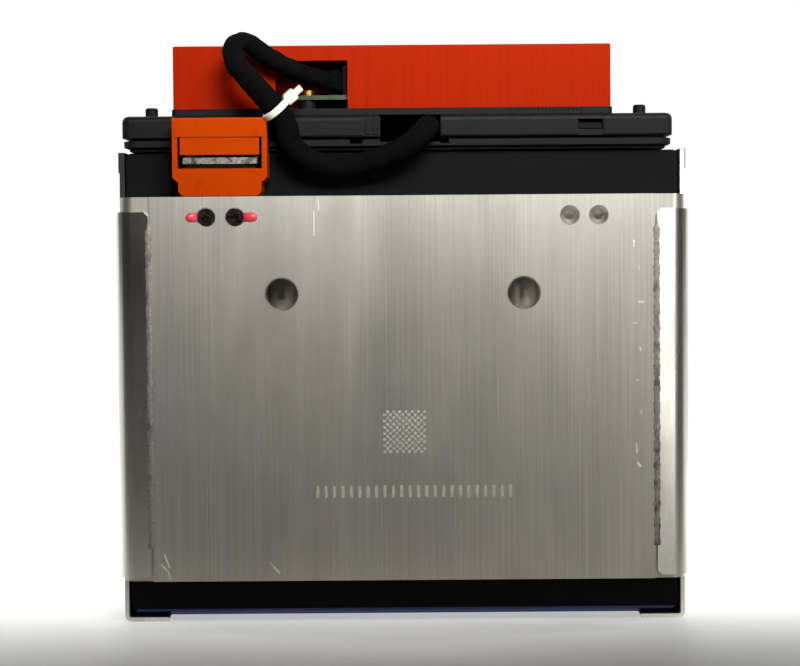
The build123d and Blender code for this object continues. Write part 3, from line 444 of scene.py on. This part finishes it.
# ------------------------------------------------------------------ sub-assemblies
@dataclass
class CadDress:
    """Finishes for the pieces whose CAD solids already have the right form."""

    nodes: dict[str, bpy.types.Object]

    def run(self) -> list[bpy.types.Object]:
        """Give every CAD node its finish.

        Returns:
            The dressed nodes.
        """
        built = {finish.name: finish.build() for finish, _ in CAD_FINISHES}
        for name, node in self.nodes.items():
            finish = next(finish for finish, starts in CAD_FINISHES if name.startswith(starts))
            dress(node, built[finish.name])
        return list(self.nodes.values())


@dataclass(frozen=True)
class RoundedBlock:
    """A block with rounded edges: its length, and its section with the rounding."""

    length: float
    height: float
    width: float
    radius: float
    end_steps: int = 5

    def loft(self, base: np.ndarray, out: np.ndarray, across: np.ndarray,
             axis: np.ndarray) -> np.ndarray:
        """Return the block's grid, a section carried along its length.

        The section is a rounded rectangle, drawn in by a quarter circle at both ends and
        closed to a point there.

        Args:
            base: middle of the near end.
            out: direction of the length.
            across: direction of the height.
            axis: direction of the width.

        Returns:
            The points, shape (sections, points of a section, 3).
        """
        section = rounded_section(self.height, self.width, self.radius)
        angle = np.linspace(0, np.pi / 2, self.end_steps)
        rise, draw = self.radius * (1 - np.cos(angle)), self.radius * (1 - np.sin(angle))
        to_point = [max(self.height, self.width)]
        runs = np.concatenate([[0], rise, self.length - rise[::-1], [self.length]])
        insets = np.concatenate([to_point, draw, draw[::-1], to_point])
        shrink_h = np.maximum(1 - 2 * insets / self.height, 0)[:, None]
        shrink_w = np.maximum(1 - 2 * insets / self.width, 0)[:, None]
        across_part = (shrink_h * section[None, :, 0])[..., None] * across
        axis_part = (shrink_w * section[None, :, 1])[..., None] * axis
        return base + runs[:, None, None] * out + across_part + axis_part


@dataclass
class WiringLoop:
    """The taped harness, folded back over the cover, and the nylon tie round it.

    The route is in millimetres: X and Z in the module's frame, Y from the front face.
    Each wave of the lumps has its radians a metre along the harness, its turns round it
    and its phase.
    """

    front_y: float
    plug: bpy.types.Object
    diameter: float = 7.8 * MM
    thin_radius: float = 3.45 * MM
    thick_radius: float = 4.15 * MM
    thicken_from: float = 0.22
    thicken_to: float = 0.38
    tape_pitch: float = 6.5 * MM
    tape_lap: float = 0.22 * MM
    lump: float = 0.16 * MM
    waves: tuple[tuple[float, int, float], ...] = ((410.0, 2, 0.0), (730.0, -1, 1.3), (1190.0, 3, 0.5))
    around: int = 36
    step: float = 0.45 * MM
    spline_order: int = 3
    spline_steps: int = 16
    tie_place: tuple[int, float] = (8, 0.55)
    tie_faces: tuple[float, float, float] = (1.0, 0.0, 0.45)
    tie_width: float = 2.5 * MM
    tie_thickness: float = 1.1 * MM
    tie_corner: float = 0.3 * MM
    tie_steps: int = 72
    head_gap: float = 0.2 * MM
    head: RoundedBlock = RoundedBlock(4.6 * MM, 5.4 * MM, 4.2 * MM, 0.9 * MM)
    tail_gap: float = 4.4 * MM
    tail_lean: tuple[float, float] = (0.94, -0.34)
    tail: RoundedBlock = RoundedBlock(3.2 * MM, 1.3 * MM, 2.4 * MM, 0.35 * MM)
    route: tuple[tuple[float, float, float], ...] = (
        (-28.3, 21.3, 198.0),
        (-34.6, 16.2, 198.6),
        (-41.0, 9.2, 201.2),
        (-49.8, 7.0, 206.0),
        (-55.2, 4.0, 210.4),
        (-59.6, -0.6, 208.4),
        (-59.4, -4.4, 202.6),
        (-53.8, -2.6, 196.0),
        (-48.8, 0.2, 190.4),
        (-41.2, 3.2, 181.6),
        (-40.2, 4.8, 173.4),
        (-34.0, 7.6, 167.6),
        (-24.4, 9.6, 165.2),
        (-14.2, 9.2, 166.2),
        (-5.4, 7.2, 168.9),
        (1.6, 5.4, 172.0),
        (6.4, 5.2, 176.2),
        (9.2, 8.4, 179.3),
        (9.8, 14.8, 180.0),
        (9.6, 22.0, 178.2),
        (9.6, 29.0, 178.2),
    )

    def points(self) -> np.ndarray:
        """Return the route's points in metres, in the module's frame."""
        raw = np.array(self.route) * MM
        return np.stack([raw[:, 0], self.front_y + raw[:, 1], raw[:, 2]], axis=1)

    def centreline(self) -> np.ndarray:
        """Read the smooth line of a NURBS spline through the route.

        Returns:
            Evenly spaced points along the spline, in metres.
        """
        curve = bpy.data.curves.new("harness_line", "CURVE")
        curve.dimensions = "3D"
        spline = curve.splines.new("NURBS")
        route = self.points()
        spline.points.add(len(route) - 1)
        for control, place in zip(spline.points, route):
            control.co = (*place, 1.0)
        spline.order_u = self.spline_order
        spline.use_endpoint_u = True
        spline.resolution_u = self.spline_steps
        line = bpy.data.objects.new("harness_line", curve)
        mesh = bpy.data.meshes.new_from_object(line)
        raw = np.array([v.co for v in mesh.vertices])
        bpy.data.objects.remove(line)
        bpy.data.meshes.remove(mesh)
        along = np.concatenate([[0], np.cumsum(np.linalg.norm(np.diff(raw, axis=0), axis=1))])
        even = np.linspace(0, along[-1], int(along[-1] / self.step) + 1)
        return np.stack([np.interp(even, along, raw[:, axis]) for axis in range(3)], axis=1)

    @staticmethod
    def frames(line: np.ndarray) -> tuple[np.ndarray, np.ndarray, np.ndarray]:
        """Carry an untwisted frame along a line.

        Args:
            line: points along the line.

        Returns:
            The tangents and two side directions at each point.
        """
        tangent = np.gradient(line, axis=0)
        tangent /= np.linalg.norm(tangent, axis=1)[:, None]
        side = np.zeros_like(line)
        side[0] = np.cross(tangent[0], (0.0, 0.0, 1.0))
        for i in range(1, len(line)):
            side[i] = side[i - 1] - tangent[i] * np.dot(side[i - 1], tangent[i])
            side[i] /= np.linalg.norm(side[i])
        side[0] /= np.linalg.norm(side[0])
        return tangent, side, np.cross(tangent, side)

    def build_harness(self, line: np.ndarray) -> bpy.types.Object:
        """Make the taped tube.

        The radius grows from the thin branch to the thick one by a smooth step, each
        turn of tape adds a saw-tooth lap along a helix, and three slow sine waves make
        it lumpy.

        Args:
            line: the harness's centreline.

        Returns:
            The tube, closed at both ends.
        """
        _, side, up = self.frames(line)
        along = np.arange(len(line)) * self.step
        share = along / along[-1]
        angle = np.arange(self.around) * 2 * np.pi / self.around
        s, a = np.meshgrid(along, angle, indexing="ij")
        growth = smooth_step((share - self.thicken_from) / (self.thicken_to - self.thicken_from))[:, None]
        base = self.thin_radius + (self.thick_radius - self.thin_radius) * growth
        lap = np.mod(s / self.tape_pitch - a / (2 * np.pi), 1.0)
        lumps = sum(np.sin(s * rate + turns * a + phase) for rate, turns, phase in self.waves)
        radius = base + self.tape_lap * (lap - 0.5) + self.lump / len(self.waves) * lumps
        ring = np.cos(a)[..., None] * side[:, None, :] + np.sin(a)[..., None] * up[:, None, :]
        points = line[:, None, :] + radius[..., None] * ring
        first = np.repeat(line[:1], self.around, axis=0)[None]
        last = np.repeat(line[-1:], self.around, axis=0)[None]
        piece = grid_mesh("wiring_harness", np.concatenate([first, points, last]), closed_v=True)
        close_shell(piece)
        return piece

    def build_tie(self, line: np.ndarray) -> bpy.types.Object:
        """Make the tie: a strap ring, its ratchet head and the trimmed tail.

        The strap is a rounded section carried round a circle square to the harness, and
        the head and tail are rounded blocks, one on the other, where the tie faces.

        Args:
            line: the harness's centreline.

        Returns:
            The tie as one mesh.
        """
        route = self.points()
        index, share = self.tie_place
        wanted = route[index] + (route[index + 1] - route[index]) * share
        nearest = int(np.argmin(np.linalg.norm(line - wanted, axis=1)))
        tangent, _, _ = self.frames(line)
        centre, axis = line[nearest], tangent[nearest]
        out = np.array(self.tie_faces)
        out -= axis * np.dot(out, axis)
        out /= np.linalg.norm(out)
        across = np.cross(axis, out)
        inner = self.thick_radius + self.lump
        angle = np.linspace(0, 2 * np.pi, self.tie_steps, endpoint=False)
        section = rounded_section(self.tie_thickness, self.tie_width, self.tie_corner)
        ring = np.cos(angle)[:, None] * out + np.sin(angle)[:, None] * across
        strap = (centre + ring[:, None, :] * (inner + self.tie_thickness / 2 + section[None, :, 0:1])
                 + axis * section[None, :, 1:2])
        head_base = centre + out * (inner + self.head_gap)
        tail_base = head_base + out * self.tail_gap
        lean = out * self.tail_lean[0] + across * self.tail_lean[1]
        lean /= np.linalg.norm(lean)
        return join([
            grid_mesh("cable_tie_dressed", strap, closed_u=True, closed_v=True),
            grid_mesh("tie_head", self.head.loft(head_base, out, across, axis), closed_v=True),
            grid_mesh("tie_tail", self.tail.loft(tail_base, lean, across, axis), closed_v=True),
        ])

    def run(self) -> list[bpy.types.Object]:
        """Returns:
            The harness and its tie.
        """
        line = self.centreline()
        harness = self.build_harness(line)
        dress(harness, HARNESS_TAPE.build(), "harness_tape")
        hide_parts("harness")
        tie = self.build_tie(line)
        dress(tie, WHITE_NYLON.build(), "tie_white")
        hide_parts("cable_tie")
        return [harness, tie]


@dataclass
class WeldBeads:
    """The four upright beads that join the side sheets to the end plates.

    Each wave of the wander has its share of the width, its radians a metre along the
    bead and its phase.
    """

    front_y: float
    seam_x: float = 90.85 * MM
    off_seam: float = 0.35 * MM
    z_from: float = 29.0 * MM
    z_to: float = 147.0 * MM
    width: float = 2.3 * MM
    height: float = 0.22 * MM
    depth: float = 0.3 * MM
    sink: float = 0.01 * MM
    step: float = 0.3 * MM
    across: int = 13
    wander: tuple[tuple[float, float, float], ...] = ((0.12, 900.0, 0.0), (0.1, 2300.0, 1.0))
    wander_height: float = 0.3
    end_taper: float = 25.0
    end_width: float = 0.15
    ripple_pitch: float = 0.9 * MM
    ripple_lean: float = 0.5 * MM
    ripple_depth: float = 0.45

    def bead(self, name: str, x_sign: int, y_sign: int) -> bpy.types.Object:
        """Make one bead.

        Height over the plate is a half-cosine across the bead times one plus a
        saw-tooth ripple along it, drawn in to a narrow upper end; the ripple leans back
        from the middle like a row of chevrons.

        Args:
            name: the piece's name.
            x_sign: side of the module, -1 or 1.
            y_sign: end of the module, -1 or 1.

        Returns:
            The bead's mesh.
        """
        z = np.arange(self.z_from, self.z_to, self.step)
        zz, cc = np.meshgrid(z, np.linspace(-1, 1, self.across), indexing="ij")
        share = (zz - z[0]) / (z[-1] - z[0])
        wander = sum(part * np.sin(zz * rate + phase) for part, rate, phase in self.wander)
        taper = np.clip((1.0 - share) * self.end_taper, self.end_width, 1)
        half = self.width / 2 * (1 + wander) * taper
        saw = np.mod((zz + self.ripple_lean * np.abs(cc)) / self.ripple_pitch, 1.0)
        ripple = 1 - self.ripple_depth + self.ripple_depth * saw
        height = self.height * np.cos(cc * np.pi / 2) * ripple * (1 + self.wander_height * wander)
        x = x_sign * (self.seam_x - self.off_seam) + cc * half
        y = y_sign * (-self.front_y + np.maximum(height, 0) - self.sink)
        skin = np.stack([x, y, zz], axis=2)
        back = skin[:, ::-1].copy()
        back[..., 1] = y_sign * (-self.front_y - self.depth)
        ring = np.concatenate([skin, back[:, 1:-1]], axis=1)
        cap_low = np.repeat(ring[:1].mean(axis=1, keepdims=True), ring.shape[1], axis=1)
        cap_high = np.repeat(ring[-1:].mean(axis=1, keepdims=True), ring.shape[1], axis=1)
        return grid_mesh(name, np.concatenate([cap_low, ring, cap_high]), closed_v=True)

    def run(self) -> list[bpy.types.Object]:
        """Returns:
            The four beads as one piece.
        """
        corners = ((-1, -1), (1, -1), (-1, 1), (1, 1))
        beads = join([self.bead(f"weld_bead_{i}", sx, sy) for i, (sx, sy) in enumerate(corners)])
        beads.name = "weld_beads_dressed"
        dress(beads, WELD.build(), "weld_metal")
        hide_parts("weld_seams")
        return [beads]


@dataclass
class FaceMarks:
    """What marks the front end plate's face: witness paint, etching, scratch marks and a painted highlight
    streak.

    The paint's spans are distances along X from the middle of the left terminal, and
    the chequer's and the bars' middles are X and Z.  Each scratch mark has its X, Z, width,
    height and turn, in millimetres and radians; the two long thin marks at X -31.4 and -29.8
    are a painted highlight streak in the scratch's near-white metal.
    """

    front_y: float
    gap: float = 0.005 * MM
    terminal_x: float = -64.8 * MM
    screw_z: float = 147.3 * MM
    paint_left: tuple[float, float] = (-12.4 * MM, -8.1 * MM)
    paint_right: tuple[float, float] = (13.3 * MM, 8.4 * MM)
    paint_height: float = 3.4 * MM
    paint_thickness: float = 0.03 * MM
    paint_steps: int = 9
    etch_thickness: float = 0.02 * MM
    chequer_at: tuple[float, float] = (0.3, 70.4)
    chequer_mm: float = 15.4
    chequer_cells: int = 14
    chequer_fill: float = 0.94
    bars_at: tuple[float, float] = (3.6, 49.0)
    bar_count: int = 24
    bar_pitch_mm: float = 3.0
    bar_size_mm: tuple[float, float] = (1.1, 4.2)
    scratch_and_highlight_marks: tuple[tuple[float, float, float, float, float], ...] = (
        (-85.2, 24.6, 0.45, 5.2, 0.35),
        (-86.2, 22.2, 0.5, 3.4, 0.7),
        (-84.4, 19.4, 0.4, 3.0, 0.2),
        (-46.2, 21.4, 0.6, 4.2, 0.75),
        (-47.6, 23.0, 0.35, 2.4, 0.6),
        (82.4, 137.0, 0.5, 2.6, 0.0),
        (84.2, 128.4, 0.4, 1.8, 0.3),
        (85.0, 116.2, 0.5, 2.2, 1.57),
        (82.6, 108.6, 0.4, 2.0, 1.57),
        (84.6, 99.4, 0.6, 1.6, 0.1),
        (83.4, 88.2, 0.4, 1.4, 1.57),
        (84.8, 76.8, 0.5, 1.6, 0.0),
        (83.2, 64.0, 0.5, 3.6, 0.05),
        (84.0, 58.0, 0.9, 2.0, 0.6),
        # These two long thin marks are a painted highlight streak along the top of the plate.
        (-31.4, 145.0, 0.25, 9.0, 0.0),
        (-29.8, 151.4, 0.25, 4.0, 0.08),
    )

    def patch(self, name: str, outline: np.ndarray) -> bpy.types.Object:
        """Make a thin plate on the face: an outline carried straight out, closed at its middle.

        Args:
            name: the piece's name.
            outline: X and Z of a convex outline, in metres, shape (n, 2).

        Returns:
            The plate's mesh, still to be closed.
        """
        centre = np.broadcast_to(outline.mean(axis=0), outline.shape)
        layers = ((centre, 0.0), (outline, 0.0), (outline, self.paint_thickness),
                  (centre, self.paint_thickness))
        rows = [np.stack([flat[:, 0], np.full(len(flat), self.front_y - rise - self.gap), flat[:, 1]],
                         axis=1) for flat, rise in layers]
        return grid_mesh(name, np.array(rows), closed_v=True)

    def paint_bar(self, name: str, span: tuple[float, float]) -> bpy.types.Object:
        """Make a bar of paint: a rectangle whose first end is a half circle.

        Args:
            name: the piece's name.
            span: distance from the terminal's middle to the round end and to the square one.

        Returns:
            The bar's mesh.
        """
        half = self.paint_height / 2
        round_end, square_end = self.terminal_x + span[0], self.terminal_x + span[1]
        inwards = math.copysign(half, square_end - round_end)
        sweep = np.linspace(-np.pi / 2, np.pi / 2, self.paint_steps)
        arc = np.stack([round_end + inwards * (1 - np.cos(sweep)), self.screw_z + half * np.sin(sweep)],
                       axis=1)
        square = [(square_end, self.screw_z + half), (square_end, self.screw_z - half)]
        return self.patch(name, np.concatenate([arc, square]))

    def plates(self, name: str, centres: np.ndarray, sizes: np.ndarray,
               turns: np.ndarray) -> bpy.types.Object:
        """Make many thin rectangular plates on the face as one mesh.

        Each is a unit square, stretched, turned, moved to its place and carried out by
        the thickness.

        Args:
            name: the piece's name.
            centres: X and Z of each plate, in millimetres, shape (n, 2).
            sizes: width and height of each, in millimetres, shape (n, 2).
            turns: turn of each in radians, shape (n,).

        Returns:
            The mesh: one closed box per plate.
        """
        corner = np.array([(-0.5, -0.5), (0.5, -0.5), (0.5, 0.5), (-0.5, 0.5)])
        local = corner[None] * sizes[:, None, :] * MM
        c, s = np.cos(turns)[:, None], np.sin(turns)[:, None]
        x = centres[:, None, 0] * MM + local[..., 0] * c - local[..., 1] * s
        z = centres[:, None, 1] * MM + local[..., 0] * s + local[..., 1] * c
        back = np.full_like(x, self.front_y - self.gap)
        out = back - self.etch_thickness
        points = np.stack([np.concatenate([x, x], axis=1), np.concatenate([back, out], axis=1),
                           np.concatenate([z, z], axis=1)], axis=2)
        box = np.array([(0, 1, 2, 3), (7, 6, 5, 4), (0, 4, 5, 1), (1, 5, 6, 2), (2, 6, 7, 3), (3, 7, 4, 0)])
        faces = (np.arange(len(centres)) * 8)[:, None, None] + box[None]
        piece = mesh_piece(name, points, faces.reshape(-1, 4))
        close_shell(piece)
        return piece

    def etched(self) -> bpy.types.Object:
        """Make the plain etched marks: an even chequer and a row of even upright bars.

        Returns:
            The marks as one mesh.
        """
        cell = self.chequer_mm / self.chequer_cells
        steps = np.arange(self.chequer_cells)
        row, column = (a.ravel() for a in np.meshgrid(steps, steps))
        on = (row + column) % 2 == 0
        corner = np.array(self.chequer_at) - self.chequer_mm / 2
        squares = corner + (np.stack([column[on], row[on]], axis=1) + 0.5) * cell
        along = (np.arange(self.bar_count) - (self.bar_count - 1) / 2) * self.bar_pitch_mm
        bars = np.stack([self.bars_at[0] + along, np.full(self.bar_count, self.bars_at[1])], axis=1)
        sizes = np.concatenate([np.full((len(squares), 2), cell * self.chequer_fill),
                                np.tile(self.bar_size_mm, (self.bar_count, 1))])
        places = np.concatenate([squares, bars])
        return self.plates("etched_marks", places, sizes, np.zeros(len(places)))

    def scratch_and_highlight_plates(self) -> bpy.types.Object:
        """Make the bright scratch marks, the column of small nicks by the right seam and the painted
        highlight streak near the top.

        Returns:
            The scratches as one mesh.
        """
        marks = np.array(self.scratch_and_highlight_marks)
        return self.plates("bright_scratches_and_painted_highlights", marks[:, :2], marks[:, 2:4], marks[:, 4])

    def run(self) -> list[bpy.types.Object]:
        """Build and dress everything on the face.

        Returns:
            The paint, the etched marks, and the scratch marks with the painted highlight streak.
        """
        paint = join([self.paint_bar("paint_left", self.paint_left),
                      self.paint_bar("paint_right", self.paint_right)])
        paint.name = "witness_paint"
        dress(paint, RED_PAINT.build(), "monitor_red")
        etched = self.etched()
        dress(etched, ETCH.build(), "end_plate_aluminium")
        bright = self.scratch_and_highlight_plates()
        # The near-white scratch finish also paints the highlight streak near the top of the plate.
        dress(bright, SCRATCH_AND_HIGHLIGHT.build(), "end_plate_aluminium")
        return [paint, etched, bright]


@dataclass(frozen=True)
class Lamp:
    """A rectangular area light: its place and aim, its sides, its power and its cone."""

    name: str
    place: tuple[float, float, float]
    aim: tuple[float, float, float]
    size: tuple[float, float]
    power: float
    spread_deg: float

    def hang(self) -> None:
        """Add the light to the scene, turned from its place to its aim."""
        light = bpy.data.lights.new(self.name, "AREA")
        light.shape = "RECTANGLE"
        light.size, light.size_y = self.size
        light.energy = self.power
        light.spread = math.radians(self.spread_deg)
        lamp = bpy.data.objects.new(self.name, light)
        lamp.location = self.place
        lamp.rotation_euler = (Vector(self.aim) - Vector(self.place)).to_track_quat("-Z", "Y").to_euler()
        bpy.context.scene.collection.objects.link(lamp)


@dataclass
class Studio:
    """Floor, backdrop, lights and the camera at the end face, in metres."""

    front_y: float
    distance: float = 0.700
    height: float = 0.1338
    pitch_deg: float = 2.3
    roll_deg: float = 0.43
    lens_mm: float = 88.42
    film_mm: float = 36.0
    clip_start: float = 0.01
    side_shift: float = -1.1 * MM
    floor_colour: str = "d9d9d7"
    floor_roughness: float = 0.9
    floor_near: float = -3.0
    floor_far: float = 1.6
    floor_half_width: float = 4.0
    sweep_radius: float = 0.8
    sweep_top: float = 3.0
    sweep_steps: int = 12
    glow_from: float = -0.10
    glow_to: float = 0.14
    glow: float = 0.85
    sky_colour: str = "dfe3ea"
    sky_strength: float = 0.02

    def backdrop(self) -> bpy.types.Object:
        """Make the pale floor that curves up behind the module.

        The profile is a flat run, a quarter circle and an upright run, carried along X.

        Returns:
            The floor, with its material.
        """
        angle = np.linspace(-np.pi / 2, 0, self.sweep_steps)
        arc_y = self.floor_far + self.sweep_radius * np.cos(angle)
        arc_z = self.sweep_radius + self.sweep_radius * np.sin(angle)
        y = np.concatenate([[self.floor_near], arc_y, [self.floor_far + self.sweep_radius]])
        z = np.concatenate([[0.0], arc_z, [self.sweep_top]])
        x = np.linspace(-self.floor_half_width, self.floor_half_width, 3)
        xx, yy = np.meshgrid(x, y, indexing="ij")
        sweep = grid_mesh("studio_floor", np.stack([xx, yy, np.broadcast_to(z, xx.shape)], axis=2))
        sweep.data.materials.append(self.floor_material())
        return sweep

    def floor_material(self) -> bpy.types.Material:
        """Make the floor's matt paint, which glows behind the front face as if lit.

        Returns:
            The material: its emission rises by a smooth step along Y.
        """
        material = bpy.data.materials.new("pale_studio_floor")
        material.use_nodes = True
        tree = material.node_tree
        shader = tree.nodes["Principled BSDF"]
        shader.inputs["Base Color"].default_value = linear(self.floor_colour)
        shader.inputs["Roughness"].default_value = self.floor_roughness
        shader.inputs["Emission Color"].default_value = linear("ffffff")
        place = add_node(tree, "ShaderNodeTexCoord")
        split = add_node(tree, "ShaderNodeSeparateXYZ", inputs={0: place.outputs["Object"]})
        glow = add_node(tree, "ShaderNodeMapRange", {"interpolation_type": "SMOOTHSTEP"}, {
            "Value": split.outputs["Y"], "From Min": self.front_y + self.glow_from,
            "From Max": self.front_y + self.glow_to, "To Min": 0.0, "To Max": self.glow})
        tree.links.new(glow.outputs[0], shader.inputs["Emission Strength"])
        return material

    def sky(self) -> None:
        """Make the world a dim, even, cool grey."""
        world = bpy.data.worlds.new("soft_studio")
        world.use_nodes = True
        background = world.node_tree.nodes["Background"]
        background.inputs["Color"].default_value = linear(self.sky_colour)
        background.inputs["Strength"].default_value = self.sky_strength
        bpy.context.scene.world = world

    def lamps(self) -> list[Lamp]:
        """Return the lights: a key and a panel at the front face, and three round the back."""
        front = self.front_y
        return [
            Lamp("key_above", (0.20, front - 0.30, 0.41), (0.13, front, 0.26), (0.56, 0.14), 1.15, 56.0),
            Lamp("right_panel", (0.43, front - 0.68, 0.24), (0.10, front, 0.12), (0.12, 0.62), 0.125,
                 50.0),
            Lamp("left_side", (-0.9, 0.25, 0.6), (-0.1, 0.15, 0.15), (0.6, 0.5), 0.55, 40.0),
            Lamp("right_side", (0.9, 0.25, 0.6), (0.1, 0.15, 0.15), (0.6, 0.5), 0.55, 40.0),
            Lamp("back_top", (0.0, 0.8, 1.1), (0.0, 0.15, 0.15), (1.0, 0.6), 0.9, 40.0),
        ]

    def camera(self) -> None:
        """Set the camera before the front face, tipped down and rolled a little."""
        camera = bpy.data.cameras.new("camera")
        camera.lens = self.lens_mm
        camera.sensor_width = self.film_mm
        camera.clip_start = self.clip_start
        rig = bpy.data.objects.new("camera", camera)
        rig.location = (self.side_shift, self.front_y - self.distance, self.height)
        tilt = Matrix.Rotation(math.radians(90 - self.pitch_deg), 4, "X")
        roll = Matrix.Rotation(math.radians(-self.roll_deg), 4, "Z")
        rig.rotation_euler = (tilt @ roll).to_euler()
        bpy.context.scene.collection.objects.link(rig)
        bpy.context.scene.camera = rig
        bpy.context.scene.view_settings.view_transform = "Standard"

    def run(self) -> list[bpy.types.Object]:
        """Make the whole studio.

        Returns:
            The floor, the studio's one mesh.
        """
        floor = self.backdrop()
        self.sky()
        for lamp in self.lamps():
            lamp.hang()
        self.camera()
        return [floor]


def main() -> None:
    """Build and dress the module in order, and report each piece."""
    logging.basicConfig(level=logging.INFO)
    low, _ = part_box("end_plate_front")
    front_y = float(low[1])
    nodes = frame["nodes"]
    assemblies = (Studio(front_y), CadDress(nodes), WiringLoop(front_y, nodes["harness_plug"]),
                  WeldBeads(front_y), FaceMarks(front_y))
    for assembly in assemblies:
        for piece in assembly.run():
            log.info("%s: %s", type(assembly).__name__, piece.name)


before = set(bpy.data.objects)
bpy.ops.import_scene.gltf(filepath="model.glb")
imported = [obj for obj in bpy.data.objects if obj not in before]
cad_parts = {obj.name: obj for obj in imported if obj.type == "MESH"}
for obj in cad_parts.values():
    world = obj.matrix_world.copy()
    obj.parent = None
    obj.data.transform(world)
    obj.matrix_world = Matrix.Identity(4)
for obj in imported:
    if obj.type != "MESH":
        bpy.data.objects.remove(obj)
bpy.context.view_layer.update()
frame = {"nodes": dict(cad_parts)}

if __name__ == "__main__":
    main()
